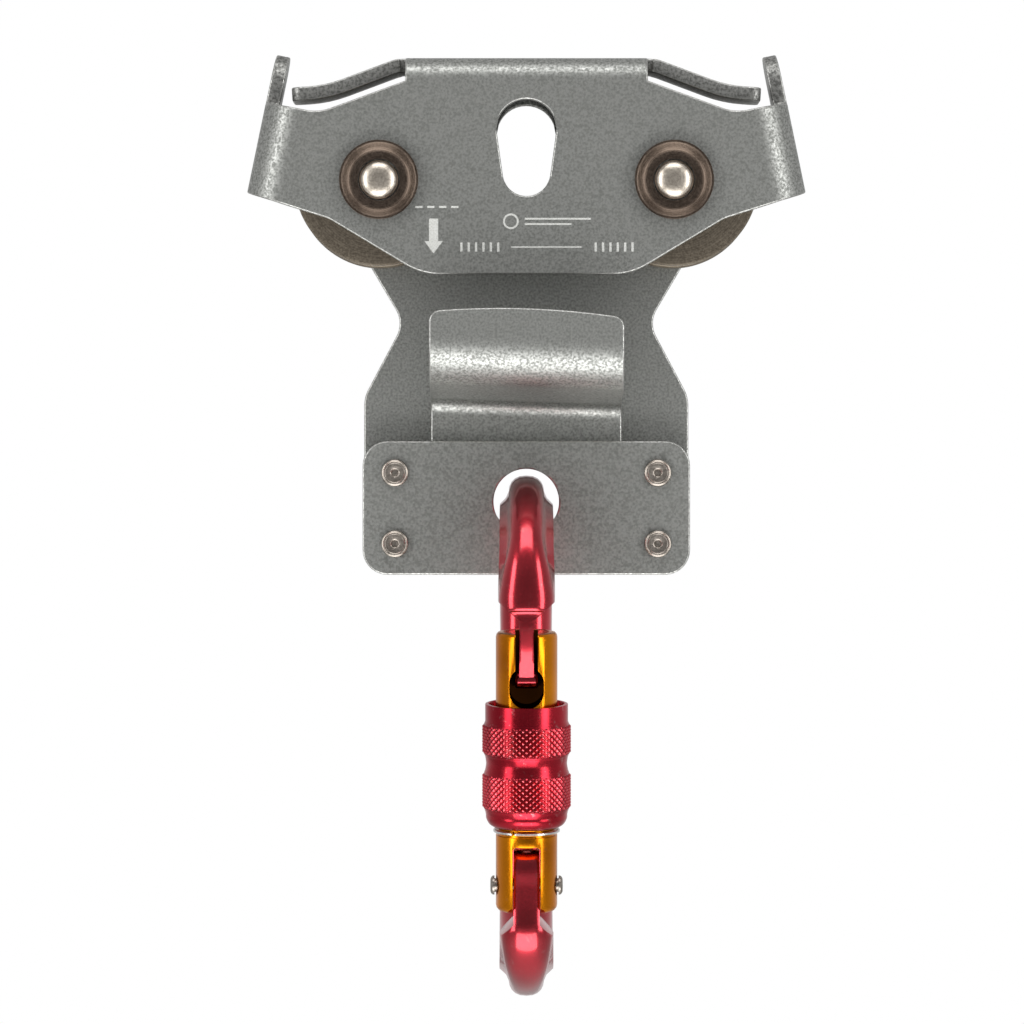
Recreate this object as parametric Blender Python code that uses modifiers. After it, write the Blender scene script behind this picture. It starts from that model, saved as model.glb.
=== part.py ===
"""Twin-sheave zip line trolley with a screw-sleeve carabiner, in metres, +Z up.

The origin is on the axis of the cable, midway between the two sheaves. X runs along the cable, -Y is the
front and +Z is up. A steel sheet folded over the cable carries two sheaves; its back leg goes down past a
hooked cable keeper to a riveted connection plate, and the carabiner hangs in the hole there.
"""

import math

import bmesh
import bpy
from mathutils import Matrix, Vector

MM = 0.001

# Sheet metal and fits
SHEET = 3.0 * MM
GAP = 0.3 * MM
BEARING_FIT = 0.15 * MM
BEND_STEPS = 5

# Saddle frame: front panel, roof and back panel
INNER_GAP = 20.0 * MM
ROOF_BEND_OUTER = 5.0 * MM
FRAME_TOP = 45.8 * MM
FOLD_HALF = 26.4 * MM
FRONT_BOTTOM = -1.5 * MM
SLIT_WIDTH = 1.0 * MM
SLIT_DEPTH = 1.3 * MM
SLOT_TOP = (30.1 * MM, 6.5 * MM)
SLOT_LOW = (20.7 * MM, 5.2 * MM)
FRONT_FOOT = 22.8 * MM
FRONT_HAUNCH = (43.0 * MM, 10.6 * MM)
SHOULDER = (45.3 * MM, 33.7 * MM)
SHOULDER_RISE = 0.2 * MM

# Roof wings, which slope down beside the fold and then level out
WING_SLOPE = math.radians(20.5)
WING_LEVEL = math.radians(17.0)
WING_KNEE = 8.0 * MM
WING_RUN = 11.2 * MM
WING_SWEEP = 28.0 * MM
WING_TIP = 3.4 * MM
WING_CORNER = 2.0 * MM

# Ears: the ends of the front panel, curled back round the ends of the sheaves, each with a horn
EAR_LEAN = math.radians(11.7)
EAR_SILHOUETTE = (60.9 * MM, 17.3 * MM)
EAR_BEND_OUTER = 8.0 * MM
EAR_TOP = 19.2 * MM
EAR_LOW_END = 0.6 * MM
HORN_WIDTH = 12.0 * MM
HORN_TOP = 30.5 * MM
HORN_SETBACK = 0.7 * MM

# Back panel: neck and lower plate
BACK_END = 50.5 * MM
NECK_HALF = 27.1 * MM
NECK_Z = -11.4 * MM
LOWER_SHOULDER_Z = -27.8 * MM
BACK_WALL = (34.8 * MM, 12.7 * MM)
SIDE_LUG = (38.5 * MM, 7.9 * MM)
LOWER_HALF = 35.8 * MM
LOWER_BOTTOM = -67.0 * MM
PLATE_CORNER = 5.5 * MM

# Sheaves, axles and bearings
AXLE_X = 32.1 * MM
AXLE_Z = 19.0 * MM
AXLE_R = 4.0 * MM
AXLE_HEAD_R = 4.25 * MM
AXLE_HEAD_H = 1.9 * MM
AXLE_FLAT_R = 2.55 * MM
SHEAVE_R = 18.5 * MM
SHEAVE_ROOT_R = 12.75 * MM
SHEAVE_SIDE_GAP = 0.5 * MM
SHEAVE_WIDTH = INNER_GAP - 2 * SHEAVE_SIDE_GAP
CABLE_SEAT_R = 6.6 * MM
GROOVE_MOUTH = math.radians(52.0)
BEARING_OD = 22.0 * MM
BEARING_BORE = 8.0 * MM
BEARING_WIDTH = 7.0 * MM
SHOULDER_WIDTH = 1.8 * MM
SHOULDER_DEPTH = 1.5 * MM
RACE_WALL = 1.8 * MM
BALL_R = 1.98 * MM
BALLS = 7
CAGE_WALL = 0.9 * MM
CAGE_WIDTH = 2.2 * MM
WASHER_R = 8.6 * MM
WASHER_BASE = 0.8 * MM
WASHER_RIM = 2.2 * MM
WASHER_RIM_WALL = 0.6 * MM

# Connection plate and rivets
PLATE_HALF = 36.0 * MM
PLATE_TOP = -37.6 * MM
RIVET_X = 28.9 * MM
RIVET_ROWS = (-44.6 * MM, -60.2 * MM)
RIVET_R = 2.0 * MM
RIVET_HEAD_R = 3.0 * MM
RIVET_HEAD_H = 1.2 * MM

# Cable keeper
KEEPER_HALF = 21.0 * MM
KEEPER_BASE_HALF = 33.0 * MM
KEEPER_BASE_TOP = -40.0 * MM
KEEPER_BOTTOM = -64.0 * MM
KEEPER_KNEE_Z = -32.4 * MM
KEEPER_KNEE_R = 5.0 * MM
KEEPER_LIP_R = 8.5 * MM
KEEPER_RISE = math.radians(6.0)
KEEPER_SHELF = 24.75 * MM
KEEPER_LIP = 7.0 * MM
KEEPER_ARCH = 1.3 * MM
KEEPER_SKEW = math.tan(math.radians(1.9))
KEEPER_CORNER = 2.4 * MM

# Carabiner
EYE_Z = -50.9 * MM
EYE_R = 7.25 * MM
FLANGE_WIDTH = 11.8 * MM
RIB_WIDTH = 7.8 * MM
BAR_DEPTH = 12.5 * MM
PIN_Y = -18.0 * MM
PIN_Z = -134.0 * MM
PIN_R = 1.5 * MM
PIN_HEAD_R = 2.1 * MM
PIN_HEAD_OUT = 1.2 * MM
GATE_LEAN = math.radians(6.0)
TONGUE_WIDTH = 5.6 * MM
TONGUE_TOP = 7.8 * MM
TONGUE_DEPTH = 10.5 * MM
SHOULDER_Z = -141.8 * MM
SHOULDER_SLOPE = -1.0
SHOULDER_TILT = 0.14
NECK_WIDTH = 3.1 * MM
NECK_TOP_Z = -76.7 * MM
NECK_SLOPE = 0.9
TOE_WIDTH = 5.2 * MM
TOE_R = 1.9 * MM
TOE_Z = -89.4 * MM
TOE_FORWARD = 0.5 * MM

# Gate, along its own axis from the hinge pin upwards
BARREL_R = 6.65 * MM
BARREL_LOW = -5.6 * MM
BARREL_TOP = 55.3 * MM
BARREL_ROUND = 5.3 * MM
FORK_CLEARANCE = 0.2 * MM
FORK_TOP = TONGUE_TOP + 1.3 * MM
FORK_EASE = 1.5 * MM
MOUTH_WIDTH = 4.9 * MM
MOUTH_BACK = 2.8 * MM
WINDOW_WIDTH = 7.5 * MM
WINDOW_LOW = 39.2 * MM
WINDOW_TOP = 48.4 * MM
BORE_R = 2.5 * MM
BORE_TOP = 31.0 * MM
RING_LOW = 11.6 * MM
RING_HEIGHT = 0.8 * MM
RING_OUT = 0.4 * MM
RING_GROOVE = 0.6 * MM
RING_MOUTH = math.radians(24.0)
RING_MOUTH_WIDTH = 0.8 * MM

# Locking sleeve, along the gate's axis
SLEEVE_LOW = 12.8 * MM
SLEEVE_TOP = 39.7 * MM
SLEEVE_R = 8.95 * MM
KNURL_R = 9.6 * MM
UPPER_BAND = (28.8 * MM, 35.3 * MM)
LOWER_BAND = (16.9 * MM, 24.5 * MM)
SLEEVE_CUP_DEPTH = 4.6 * MM
SLEEVE_CUP_WALL = 0.9 * MM
CHAMFER = 0.5 * MM

# Gate spring and plunger
PLUNGER_R = 1.8 * MM
PLUNGER_HEIGHT = 5.0 * MM
SPRING_WIRE = 0.35 * MM
SPRING_TURNS = 8
SPRING_SIDES = 8

# Round pieces: flats in a turn
FINE_ROUND = 32
ROUND = 20
SMALL_ROUND = 12

FRONT_MID = -(INNER_GAP + SHEET) / 2
BACK_FACE = INNER_GAP / 2 + SHEET
BEND_NEUTRAL = ROOF_BEND_OUTER - SHEET / 2
BEND_START_Z = FRAME_TOP - ROOF_BEND_OUTER
BEND_LENGTH = BEND_NEUTRAL * math.pi / 2
ROOF_DEPTH = INNER_GAP + 2 * SHEET - 2 * ROOF_BEND_OUTER
PACK_MID = INNER_GAP / 2 - GAP - SHEET / 2
CONNECTION_MID = PACK_MID - GAP - SHEET
ROOF_BACK = BEND_START_Z + BEND_LENGTH + ROOF_DEPTH
WING_ZONE = (BEND_START_Z + BEND_LENGTH / 2, ROOF_BACK + BEND_LENGTH / 2)
SADDLE_PATH = (
    (BEND_START_Z - FRONT_BOTTOM, 0.0),
    (BEND_LENGTH, -math.pi / 2),
    (ROOF_DEPTH, 0.0),
    (BEND_LENGTH, -math.pi / 2),
    (BEND_START_Z - LOWER_BOTTOM, 0.0),
)
WING_PATH = (
    (WING_KNEE * WING_SLOPE, -WING_SLOPE),
    (WING_RUN, 0.0),
    (WING_SWEEP * WING_LEVEL, WING_LEVEL),
    (WING_TIP, 0.0),
)
EAR_NEUTRAL = EAR_BEND_OUTER - SHEET / 2
EAR_PATH = ((EAR_NEUTRAL * math.pi / 2, -math.pi / 2), (HORN_WIDTH + HORN_SETBACK, 0.0))
KEEPER_TURN = math.pi / 2 - KEEPER_RISE
KEEPER_PATH = (
    (KEEPER_KNEE_Z - KEEPER_BOTTOM, 0.0),
    (KEEPER_KNEE_R * KEEPER_TURN, -KEEPER_TURN),
    (KEEPER_SHELF, 0.0),
    (KEEPER_LIP_R * KEEPER_TURN, KEEPER_TURN),
    (KEEPER_LIP, 0.0),
)


# ---------------------------------------------------------------- scene and objects


def clear_scene():
    for obj in list(bpy.data.objects):
        bpy.data.objects.remove(obj)


def new_collection(name):
    made = bpy.data.collections.new(name)
    bpy.context.scene.collection.children.link(made)
    return made


def new_material(name, colour, roughness, metallic):
    made = bpy.data.materials.new(name)
    made.use_nodes = True
    shader = made.node_tree.nodes["Principled BSDF"]
    shader.inputs["Base Color"].default_value = (*colour, 1.0)
    shader.inputs["Roughness"].default_value = roughness
    shader.inputs["Metallic"].default_value = metallic
    return made


def new_axis(name, parent, location, rotation=(0.0, 0.0, 0.0)):
    """An empty that carries the pieces sharing one axis."""
    axis = bpy.data.objects.new(name, None)
    axis.empty_display_size = 0.01
    axis.location = location
    axis.rotation_euler = rotation
    axis.parent = parent
    PARTS.objects.link(axis)
    return axis


def add_part(name, mesh, material, parent=None, location=(0.0, 0.0, 0.0), rotation=(0.0, 0.0, 0.0)):
    mesh.name = name
    part = bpy.data.objects.new(name, mesh)
    if not mesh.materials:
        mesh.materials.append(material)
    part.parent = parent
    part.location = location
    part.rotation_euler = rotation
    PARTS.objects.link(part)
    return part


def add_cutter(name, mesh, parent=None, location=(0.0, 0.0, 0.0), rotation=(0.0, 0.0, 0.0)):
    cutter = bpy.data.objects.new(name, mesh)
    cutter.parent = parent
    cutter.location = location
    cutter.rotation_euler = rotation
    cutter.hide_render = True
    cutter.display_type = "WIRE"
    CUTTERS.objects.link(cutter)
    return cutter


def combine(part, tool, operation):
    modifier = part.modifiers.new(tool.name, "BOOLEAN")
    modifier.operation = operation
    modifier.solver = "EXACT"
    modifier.object = tool


def shade(mesh, angle=35.0):
    mesh.shade_smooth()
    mesh.set_sharp_from_angle(angle=math.radians(angle))


# ---------------------------------------------------------------- outlines


def circle(x, z, radius, steps):
    turn = 2 * math.pi / steps
    return [(x + radius * math.cos(i * turn), z + radius * math.sin(i * turn)) for i in range(steps)]


def rounded(corners, steps=4):
    """A closed outline from (x, z, radius) corners, each corner turned into an arc of its radius."""
    points = []
    for i, (x, z, radius) in enumerate(corners):
        here = Vector((x, z))
        back = (Vector(corners[i - 1][:2]) - here).normalized()
        ahead = (Vector(corners[(i + 1) % len(corners)][:2]) - here).normalized()
        half = back.angle(ahead) / 2
        if radius == 0.0 or half > math.radians(89.5):
            points.append((x, z))
            continue
        middle = here + (back + ahead).normalized() * radius / math.sin(half)
        start = here + back * radius / math.tan(half) - middle
        sweep = start.angle_signed(here + ahead * radius / math.tan(half) - middle)
        for step in range(steps + 1):
            spoke = start.copy()
            spoke.rotate(Matrix.Rotation(-sweep * step / steps, 2))
            points.append(tuple(middle + spoke))
    return points


def tapered_slot(top, low, place, steps=8):
    """A slot with a wider round top and a narrower round foot. place gives the height on the blank."""
    lean = math.asin((top[1] - low[1]) / (top[0] - low[0]))
    points = []
    for centre, radius, start in ((top[0], top[1], -lean), (low[0], low[1], math.pi + lean)):
        sweep = math.pi + 2 * lean if start < 0 else math.pi - 2 * lean
        for step in range(steps + 1):
            angle = start + sweep * step / steps
            points.append((radius * math.cos(angle), place(centre + radius * math.sin(angle))))
    return points


def sheet_mesh(name, loops, thickness=SHEET):
    """A flat plate of the first loop with the other loops as holes, in the XY plane about z = 0."""
    curve = bpy.data.curves.new(name, "CURVE")
    curve.dimensions = "2D"
    curve.fill_mode = "BOTH"
    curve.extrude = thickness / 2
    for loop in loops:
        spline = curve.splines.new("POLY")
        spline.points.add(len(loop) - 1)
        for point, (x, z) in zip(spline.points, loop):
            point.co = (x, z, 0.0, 1.0)
        spline.use_cyclic_u = True
    holder = bpy.data.objects.new(name, curve)
    CUTTERS.objects.link(holder)
    graph = bpy.context.evaluated_depsgraph_get()
    mesh = bpy.data.meshes.new_from_object(holder.evaluated_get(graph))
    bpy.data.objects.remove(holder)
    weld(mesh)
    return mesh


def weld(mesh):
    bm = bmesh.new()
    bm.from_mesh(mesh)
    bmesh.ops.remove_doubles(bm, verts=bm.verts, dist=1e-6)
    bmesh.ops.recalc_face_normals(bm, faces=bm.faces)
    bm.to_mesh(mesh)
    bm.free()


def upright(mesh, y):
    """Stands a plate from the XY plane up in XZ, with its middle at this y."""
    mesh.transform(Matrix.Translation((0.0, y, 0.0)) @ Matrix.Rotation(math.pi / 2, 4, "X"))
    return mesh


# ---------------------------------------------------------------- bent sheet


def along(path, heading, length, offset):
    """The point at this length along a bent strip, offset to the left of its middle line."""
    across = 0.0
    up = 0.0
    for run, turn in path:
        step = length if (run, turn) == path[-1] else min(length, run)
        if turn:
            radius = run / turn
            after = heading + step / radius
            across += radius * (math.sin(after) - math.sin(heading))
            up -= radius * (math.cos(after) - math.cos(heading))
            heading = after
        else:
            across += step * math.cos(heading)
            up += step * math.sin(heading)
        length -= step
        if length <= 0.0:
            break
    return across - offset * math.sin(heading), up + offset * math.cos(heading)


def bend_stations(path, steps=BEND_STEPS):
    """The lengths at which a strip is creased: the ends of each bend and the creases inside it."""
    stations = []
    start = 0.0
    for run, turn in path:
        if turn:
            creases = max(2, round(steps * abs(turn) / (math.pi / 2)))
            stations += [start + run * i / creases for i in range(creases + 1)]
        start += run
    return stations


def crease(bm, point, normal, zone):
    """Cuts the faces of one zone along a line, so that they can bend there."""
    faces = [face for face in bm.faces if zone(face.calc_center_median())]
    edges = {edge for face in faces for edge in face.edges}
    verts = {vert for face in faces for vert in face.verts}
    geometry = [*faces, *edges, *verts]
    bmesh.ops.bisect_plane(bm, geom=geometry, dist=1e-7, plane_co=point, plane_no=normal)


def fold(mesh, creases, bend):
    """Creases a flat blank in each zone and moves its points by bend."""
    bm = bmesh.new()
    bm.from_mesh(mesh)
    for point, normal, zone in creases:
        crease(bm, point, normal, zone)
    bmesh.ops.triangulate(bm, faces=[face for face in bm.faces if len(face.verts) > 4])
    for vert in bm.verts:
        vert.co = bend(*vert.co)
    bm.to_mesh(mesh)
    bm.free()
    shade(mesh)
    return mesh


# ---------------------------------------------------------------- turned pieces and solids


def turned(name, profile, steps, closed=True):
    """A ring or a solid of revolution about Z. The profile holds (radius, z) down its outer side."""
    mesh = bpy.data.meshes.new(name)
    count = len(profile)
    edges = [(i, (i + 1) % count) for i in range(count if closed else count - 1)]
    mesh.from_pydata([(radius, 0.0, z) for radius, z in profile], edges, [])
    holder = bpy.data.objects.new(name, mesh)
    CUTTERS.objects.link(holder)
    screw = holder.modifiers.new("turn", "SCREW")
    screw.axis = "Z"
    screw.steps = steps
    screw.render_steps = steps
    screw.use_merge_vertices = True
    screw.merge_threshold = 1e-6
    graph = bpy.context.evaluated_depsgraph_get()
    made = bpy.data.meshes.new_from_object(holder.evaluated_get(graph))
    bpy.data.objects.remove(holder)
    weld(made)
    shade(made)
    return made


def box_mesh(name, low, high, shape=None):
    """A box between two corners. shape, when given, moves each of its points."""
    mesh = bpy.data.meshes.new(name)
    bm = bmesh.new()
    bmesh.ops.create_cube(bm, size=1.0)
    for vert in bm.verts:
        vert.co = [low[i] if vert.co[i] < 0 else high[i] for i in range(3)]
        if shape:
            vert.co = shape(vert.co)
    bmesh.ops.recalc_face_normals(bm, faces=bm.faces)
    bm.to_mesh(mesh)
    bm.free()
    return mesh


def rod_mesh(name, radius, low, high, steps=SMALL_ROUND):
    return turned(name, [(0.0, high), (radius, high), (radius, low), (0.0, low)], steps, closed=False)


def profile_prism(name, corners, half, steps=4):
    """A rounded outline in (y, z) pushed out to both sides along X."""
    mesh = sheet_mesh(name, [rounded(corners, steps)], 2 * half)
    turn = Matrix(((0, 0, 1, 0), (1, 0, 0, 0), (0, 1, 0, 0), (0, 0, 0, 1)))
    mesh.transform(turn)
    return mesh


# ---------------------------------------------------------------- saddle frame


def ear_axes():
    """The ear's fold line: a point on it, its own direction and the direction across it."""
    up = Vector((-math.sin(EAR_LEAN), math.cos(EAR_LEAN)))
    across = Vector((math.cos(EAR_LEAN), math.sin(EAR_LEAN)))
    return Vector(EAR_SILHOUETTE) - across * EAR_BEND_OUTER, up, across


def ear_point(distance, height):
    """A point on the flat blank, from the distance past the ear's fold line and the height along it."""
    start, up, across = ear_axes()
    return tuple(start + across * distance + up * height)


def back_height(z):
    """Where a height of the back panel lies on the flat blank, which runs up the front and down the back."""
    return ROOF_BACK + BEND_LENGTH + BEND_START_Z - z


def saddle_outline():
    """The flat blank of the saddle frame: its right half, from the front's lower edge round to the back's."""
    roof_front = BEND_START_Z + BEND_LENGTH
    roof_back = roof_front + ROOF_DEPTH
    wing_end = FOLD_HALF + sum(run for run, _ in WING_PATH)
    bend_end = EAR_PATH[0][0] + HORN_SETBACK
    wall_end = bend_end + HORN_WIDTH
    slit_out = FOLD_HALF + SLIT_WIDTH
    half = [
        (FRONT_FOOT, FRONT_BOTTOM, 15.0 * MM),
        (*FRONT_HAUNCH, 8.0 * MM),
        (*ear_point(wall_end, EAR_LOW_END), 3.0 * MM),
        (*ear_point(wall_end, HORN_TOP), HORN_WIDTH / 2 - 0.01 * MM),
        (*ear_point(bend_end, HORN_TOP), HORN_WIDTH / 2 - 0.01 * MM),
        (*ear_point(bend_end, EAR_TOP), 0.8 * MM),
        (*SHOULDER, 10.0 * MM),
        (FOLD_HALF, BEND_START_Z - SHOULDER_RISE, 0.0),
        (FOLD_HALF, roof_front + SLIT_DEPTH, 0.0),
        (slit_out, roof_front + SLIT_DEPTH, 0.0),
        (slit_out, roof_front, 0.3 * MM),
        (wing_end, roof_front, WING_CORNER),
        (wing_end, roof_back, WING_CORNER),
        (slit_out, roof_back, 0.3 * MM),
        (slit_out, roof_back - SLIT_DEPTH, 0.0),
        (FOLD_HALF, roof_back - SLIT_DEPTH, 0.0),
        (FOLD_HALF, back_height(BEND_START_Z - SHOULDER_RISE), 0.0),
        (SHOULDER[0], back_height(SHOULDER[1]), 10.0 * MM),
        (BACK_END, back_height(BACK_WALL[0]), 2.0 * MM),
        (BACK_END, back_height(BACK_WALL[1]), 3.0 * MM),
        (FRONT_HAUNCH[0], back_height(FRONT_HAUNCH[1]), 8.0 * MM),
        (SIDE_LUG[0], back_height(SIDE_LUG[1]), 5.0 * MM),
        (NECK_HALF, back_height(NECK_Z), 6.0 * MM),
        (LOWER_HALF, back_height(LOWER_SHOULDER_Z), 8.0 * MM),
        (LOWER_HALF, back_height(LOWER_BOTTOM), PLATE_CORNER),
    ]
    return half + [(-x, z, radius) for x, z, radius in reversed(half)]


def saddle_bend(x, height, offset):
    """Where a point of the flat blank lies once the frame is folded."""
    side = math.copysign(1.0, x)
    start, up, across = ear_axes()
    from_fold = (Vector((abs(x), height)) - start).dot(across)
    on_horn = from_fold > EAR_PATH[0][0] and height < ROOF_BACK
    if on_horn or (from_fold > 0.0 and height < BEND_START_Z):
        rise = (Vector((abs(x), height)) - start).dot(up)
        out, forward = along(EAR_PATH, 0.0, from_fold, offset)
        place = start + up * rise + across * out
        return Vector((side * place.x, FRONT_MID - forward, place.y))
    y, z = along(SADDLE_PATH, math.pi / 2, height - FRONT_BOTTOM, offset)
    past_roof = abs(x) - FOLD_HALF
    if past_roof > 0.0 and WING_ZONE[0] < height < WING_ZONE[1]:
        out, drop = along(WING_PATH, 0.0, past_roof, offset)
        return Vector((side * (FOLD_HALF + out), FRONT_MID + y, FRAME_TOP - SHEET / 2 + drop))
    return Vector((x, FRONT_MID + y, z + FRONT_BOTTOM))


def saddle_creases():
    creases = []
    for length in bend_stations(SADDLE_PATH):
        creases.append(((0.0, FRONT_BOTTOM + length, 0.0), (0.0, 1.0, 0.0), lambda c: True))
    low, high = WING_ZONE
    start, _, across = ear_axes()
    for side in (-1.0, 1.0):
        for length in bend_stations(WING_PATH, 2 * BEND_STEPS):
            place = (side * (FOLD_HALF + length), 0.0, 0.0)
            creases.append((place, (1.0, 0.0, 0.0), lambda c: low < c.y < high))
        for length in bend_stations(EAR_PATH):
            place = start + across * length
            line = ((side * place.x, place.y, 0.0), (side * across.x, across.y, 0.0))
            creases.append((*line, lambda c: c.y < BEND_START_Z))
    return creases


def saddle_holes():
    holes = [tapered_slot(SLOT_TOP, SLOT_LOW, lambda z: z), tapered_slot(SLOT_TOP, SLOT_LOW, back_height)]
    for side in (-1.0, 1.0):
        for height in (AXLE_Z, back_height(AXLE_Z)):
            holes.append(circle(side * AXLE_X, height, AXLE_R + GAP, SMALL_ROUND))
        for row in RIVET_ROWS:
            holes.append(circle(side * RIVET_X, back_height(row), RIVET_R + GAP, SMALL_ROUND))
    holes.append(circle(0.0, back_height(EYE_Z), EYE_R, ROUND))
    return holes


def build_saddle_frame(material):
    mesh = sheet_mesh("saddle_frame", [rounded(saddle_outline()), *saddle_holes()])
    add_part("saddle_frame", fold(mesh, saddle_creases(), saddle_bend), material)


# ---------------------------------------------------------------- keeper, connection plate, rivets


def keeper_outline():
    top = sum(run for run, _ in KEEPER_PATH)
    base_top = KEEPER_BASE_TOP - KEEPER_BOTTOM
    lip = [KEEPER_HALF * i / 4 for i in range(4, -5, -1)]
    corners = [
        (KEEPER_BASE_HALF, 0.0, 3.0 * MM),
        (KEEPER_BASE_HALF, base_top, 3.0 * MM),
        (KEEPER_HALF, base_top, 1.5 * MM),
    ]
    mirrored = [(-x, z, radius) for x, z, radius in reversed(corners)]
    for x in lip:
        height = top - x * KEEPER_SKEW - KEEPER_ARCH * (x / KEEPER_HALF) ** 2
        corners.append((x, height, KEEPER_CORNER if abs(x) == KEEPER_HALF else 0.0))
    return corners + mirrored


def keeper_bend(x, height, offset):
    """The keeper's bends run a little askew, lower towards +X."""
    askew = x * KEEPER_SKEW
    forward, z = along(KEEPER_PATH, math.pi / 2, height + askew, -offset)
    return Vector((x, PACK_MID - forward, KEEPER_BOTTOM + z - askew))


def build_keeper(material):
    holes = [circle(0.0, EYE_Z - KEEPER_BOTTOM, EYE_R, ROUND)]
    for side in (-1.0, 1.0):
        for row in RIVET_ROWS:
            holes.append(circle(side * RIVET_X, row - KEEPER_BOTTOM, RIVET_R + GAP, SMALL_ROUND))
    mesh = sheet_mesh("cable_keeper", [rounded(keeper_outline()), *holes])
    normal = (KEEPER_SKEW, 1.0, 0.0)
    creases = [((0.0, length, 0.0), normal, lambda c: True) for length in bend_stations(KEEPER_PATH)]
    add_part("cable_keeper", fold(mesh, creases, keeper_bend), material)


def build_connection_plate(material):
    corners = [
        (-PLATE_HALF, LOWER_BOTTOM, PLATE_CORNER),
        (PLATE_HALF, LOWER_BOTTOM, PLATE_CORNER),
        (PLATE_HALF, PLATE_TOP, PLATE_CORNER),
        (-PLATE_HALF, PLATE_TOP, PLATE_CORNER),
    ]
    holes = [circle(0.0, EYE_Z, EYE_R, ROUND)]
    for side in (-1.0, 1.0):
        for row in RIVET_ROWS:
            holes.append(circle(side * RIVET_X, row, RIVET_R + GAP, SMALL_ROUND))
    mesh = upright(sheet_mesh("connection_plate", [rounded(corners, 6), *holes]), CONNECTION_MID)
    shade(mesh)
    add_part("connection_plate", mesh, material)


def build_rivets(material):
    """Each rivet clamps the connection plate, the keeper and the back panel. Its axis is local Z, front up."""
    front = -(CONNECTION_MID - SHEET / 2 - GAP)
    back = -(BACK_FACE + GAP)
    profile = [
        (0.0, front + RIVET_HEAD_H - 0.35 * MM),
        (0.5 * RIVET_R, front + RIVET_HEAD_H),
        (0.8 * RIVET_HEAD_R, front + RIVET_HEAD_H),
        (RIVET_HEAD_R, front + 0.6 * RIVET_HEAD_H),
        (RIVET_HEAD_R, front),
        (RIVET_R, front),
        (RIVET_R, back),
        (RIVET_HEAD_R, back),
        (RIVET_HEAD_R, back - 0.6 * RIVET_HEAD_H),
        (0.8 * RIVET_HEAD_R, back - RIVET_HEAD_H),
        (0.0, back - RIVET_HEAD_H),
    ]
    mesh = turned("plate_rivet", profile, SMALL_ROUND, closed=False)
    for row_name, row in zip(("upper", "lower"), RIVET_ROWS):
        for side_name, side in (("left", -1), ("right", 1)):
            place = (side * RIVET_X, 0.0, row)
            name = f"plate_rivet_{row_name}_{side_name}"
            add_part(name, mesh, material, None, place, (math.pi / 2, 0.0, 0.0))


# ---------------------------------------------------------------- sheaves and bearings


def sheave_profile():
    half = SHEAVE_WIDTH / 2
    bore = BEARING_OD / 2 + BEARING_FIT
    seat = SHEAVE_ROOT_R + CABLE_SEAT_R
    groove = []
    for step in range(7):
        angle = GROOVE_MOUTH * (1 - step / 3)
        groove.append((seat - CABLE_SEAT_R * math.cos(angle), CABLE_SEAT_R * math.sin(angle)))
    return [
        (bore, half),
        (SHEAVE_R - CHAMFER, half),
        (SHEAVE_R, half - CHAMFER),
        (SHEAVE_R, half - 2 * CHAMFER),
        *groove,
        (SHEAVE_R, 2 * CHAMFER - half),
        (SHEAVE_R, CHAMFER - half),
        (SHEAVE_R - CHAMFER, -half),
        (bore, -half),
        (bore, -SHOULDER_WIDTH / 2),
        (bore - SHOULDER_DEPTH, -SHOULDER_WIDTH / 2),
        (bore - SHOULDER_DEPTH, SHOULDER_WIDTH / 2),
        (bore, SHOULDER_WIDTH / 2),
    ]


def tube_profile(inner, outer, low, high):
    return [(inner, high), (outer, high), (outer, low), (inner, low)]


def race_profiles():
    """The inner and the outer race, each with a ball track. Their middle is at z = 0."""
    half = BEARING_WIDTH / 2
    inner = BEARING_BORE / 2 + BEARING_FIT
    outer = BEARING_OD / 2
    track = (inner + outer) / 2
    land = 0.55 * BALL_R
    inner_race = [
        (inner, half),
        (inner + RACE_WALL, half),
        (inner + RACE_WALL, land),
        (track - BALL_R - BEARING_FIT, 0.0),
        (inner + RACE_WALL, -land),
        (inner + RACE_WALL, -half),
        (inner, -half),
    ]
    outer_race = [
        (outer - RACE_WALL, half),
        (outer, half),
        (outer, -half),
        (outer - RACE_WALL, -half),
        (outer - RACE_WALL, -land),
        (track + BALL_R + BEARING_FIT, 0.0),
        (outer - RACE_WALL, land),
    ]
    return inner_race, outer_race, track


def build_ball_cage(name, track, material, parent, z):
    """Seven balls held by one ring."""
    half = CAGE_WIDTH / 2
    ring = tube_profile(track - CAGE_WALL / 2, track + CAGE_WALL / 2, -half, half)
    cage = add_part(name, turned(name, ring, 2 * BALLS), material, parent, (0.0, 0.0, z))
    for ball in range(BALLS):
        mesh = bpy.data.meshes.new(name + "_ball")
        bm = bmesh.new()
        bmesh.ops.create_uvsphere(bm, u_segments=8, v_segments=4, radius=BALL_R)
        bm.to_mesh(mesh)
        bm.free()
        angle = 2 * math.pi * (ball + 0.5) / BALLS
        place = (track * math.cos(angle), track * math.sin(angle), z)
        combine(cage, add_cutter(f"{name}_ball_{ball}", mesh, parent, place), "UNION")


def washer_profile():
    """A dished washer seen from its open side: a flat base and a flared rim."""
    hole = AXLE_HEAD_R + GAP
    return [
        (hole, WASHER_BASE),
        (0.72 * WASHER_R, WASHER_BASE),
        (WASHER_R - WASHER_RIM_WALL, WASHER_RIM),
        (WASHER_R, WASHER_RIM),
        (WASHER_R, WASHER_RIM - WASHER_RIM_WALL),
        (0.8 * WASHER_R, 0.0),
        (hole, 0.0),
    ]


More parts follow.
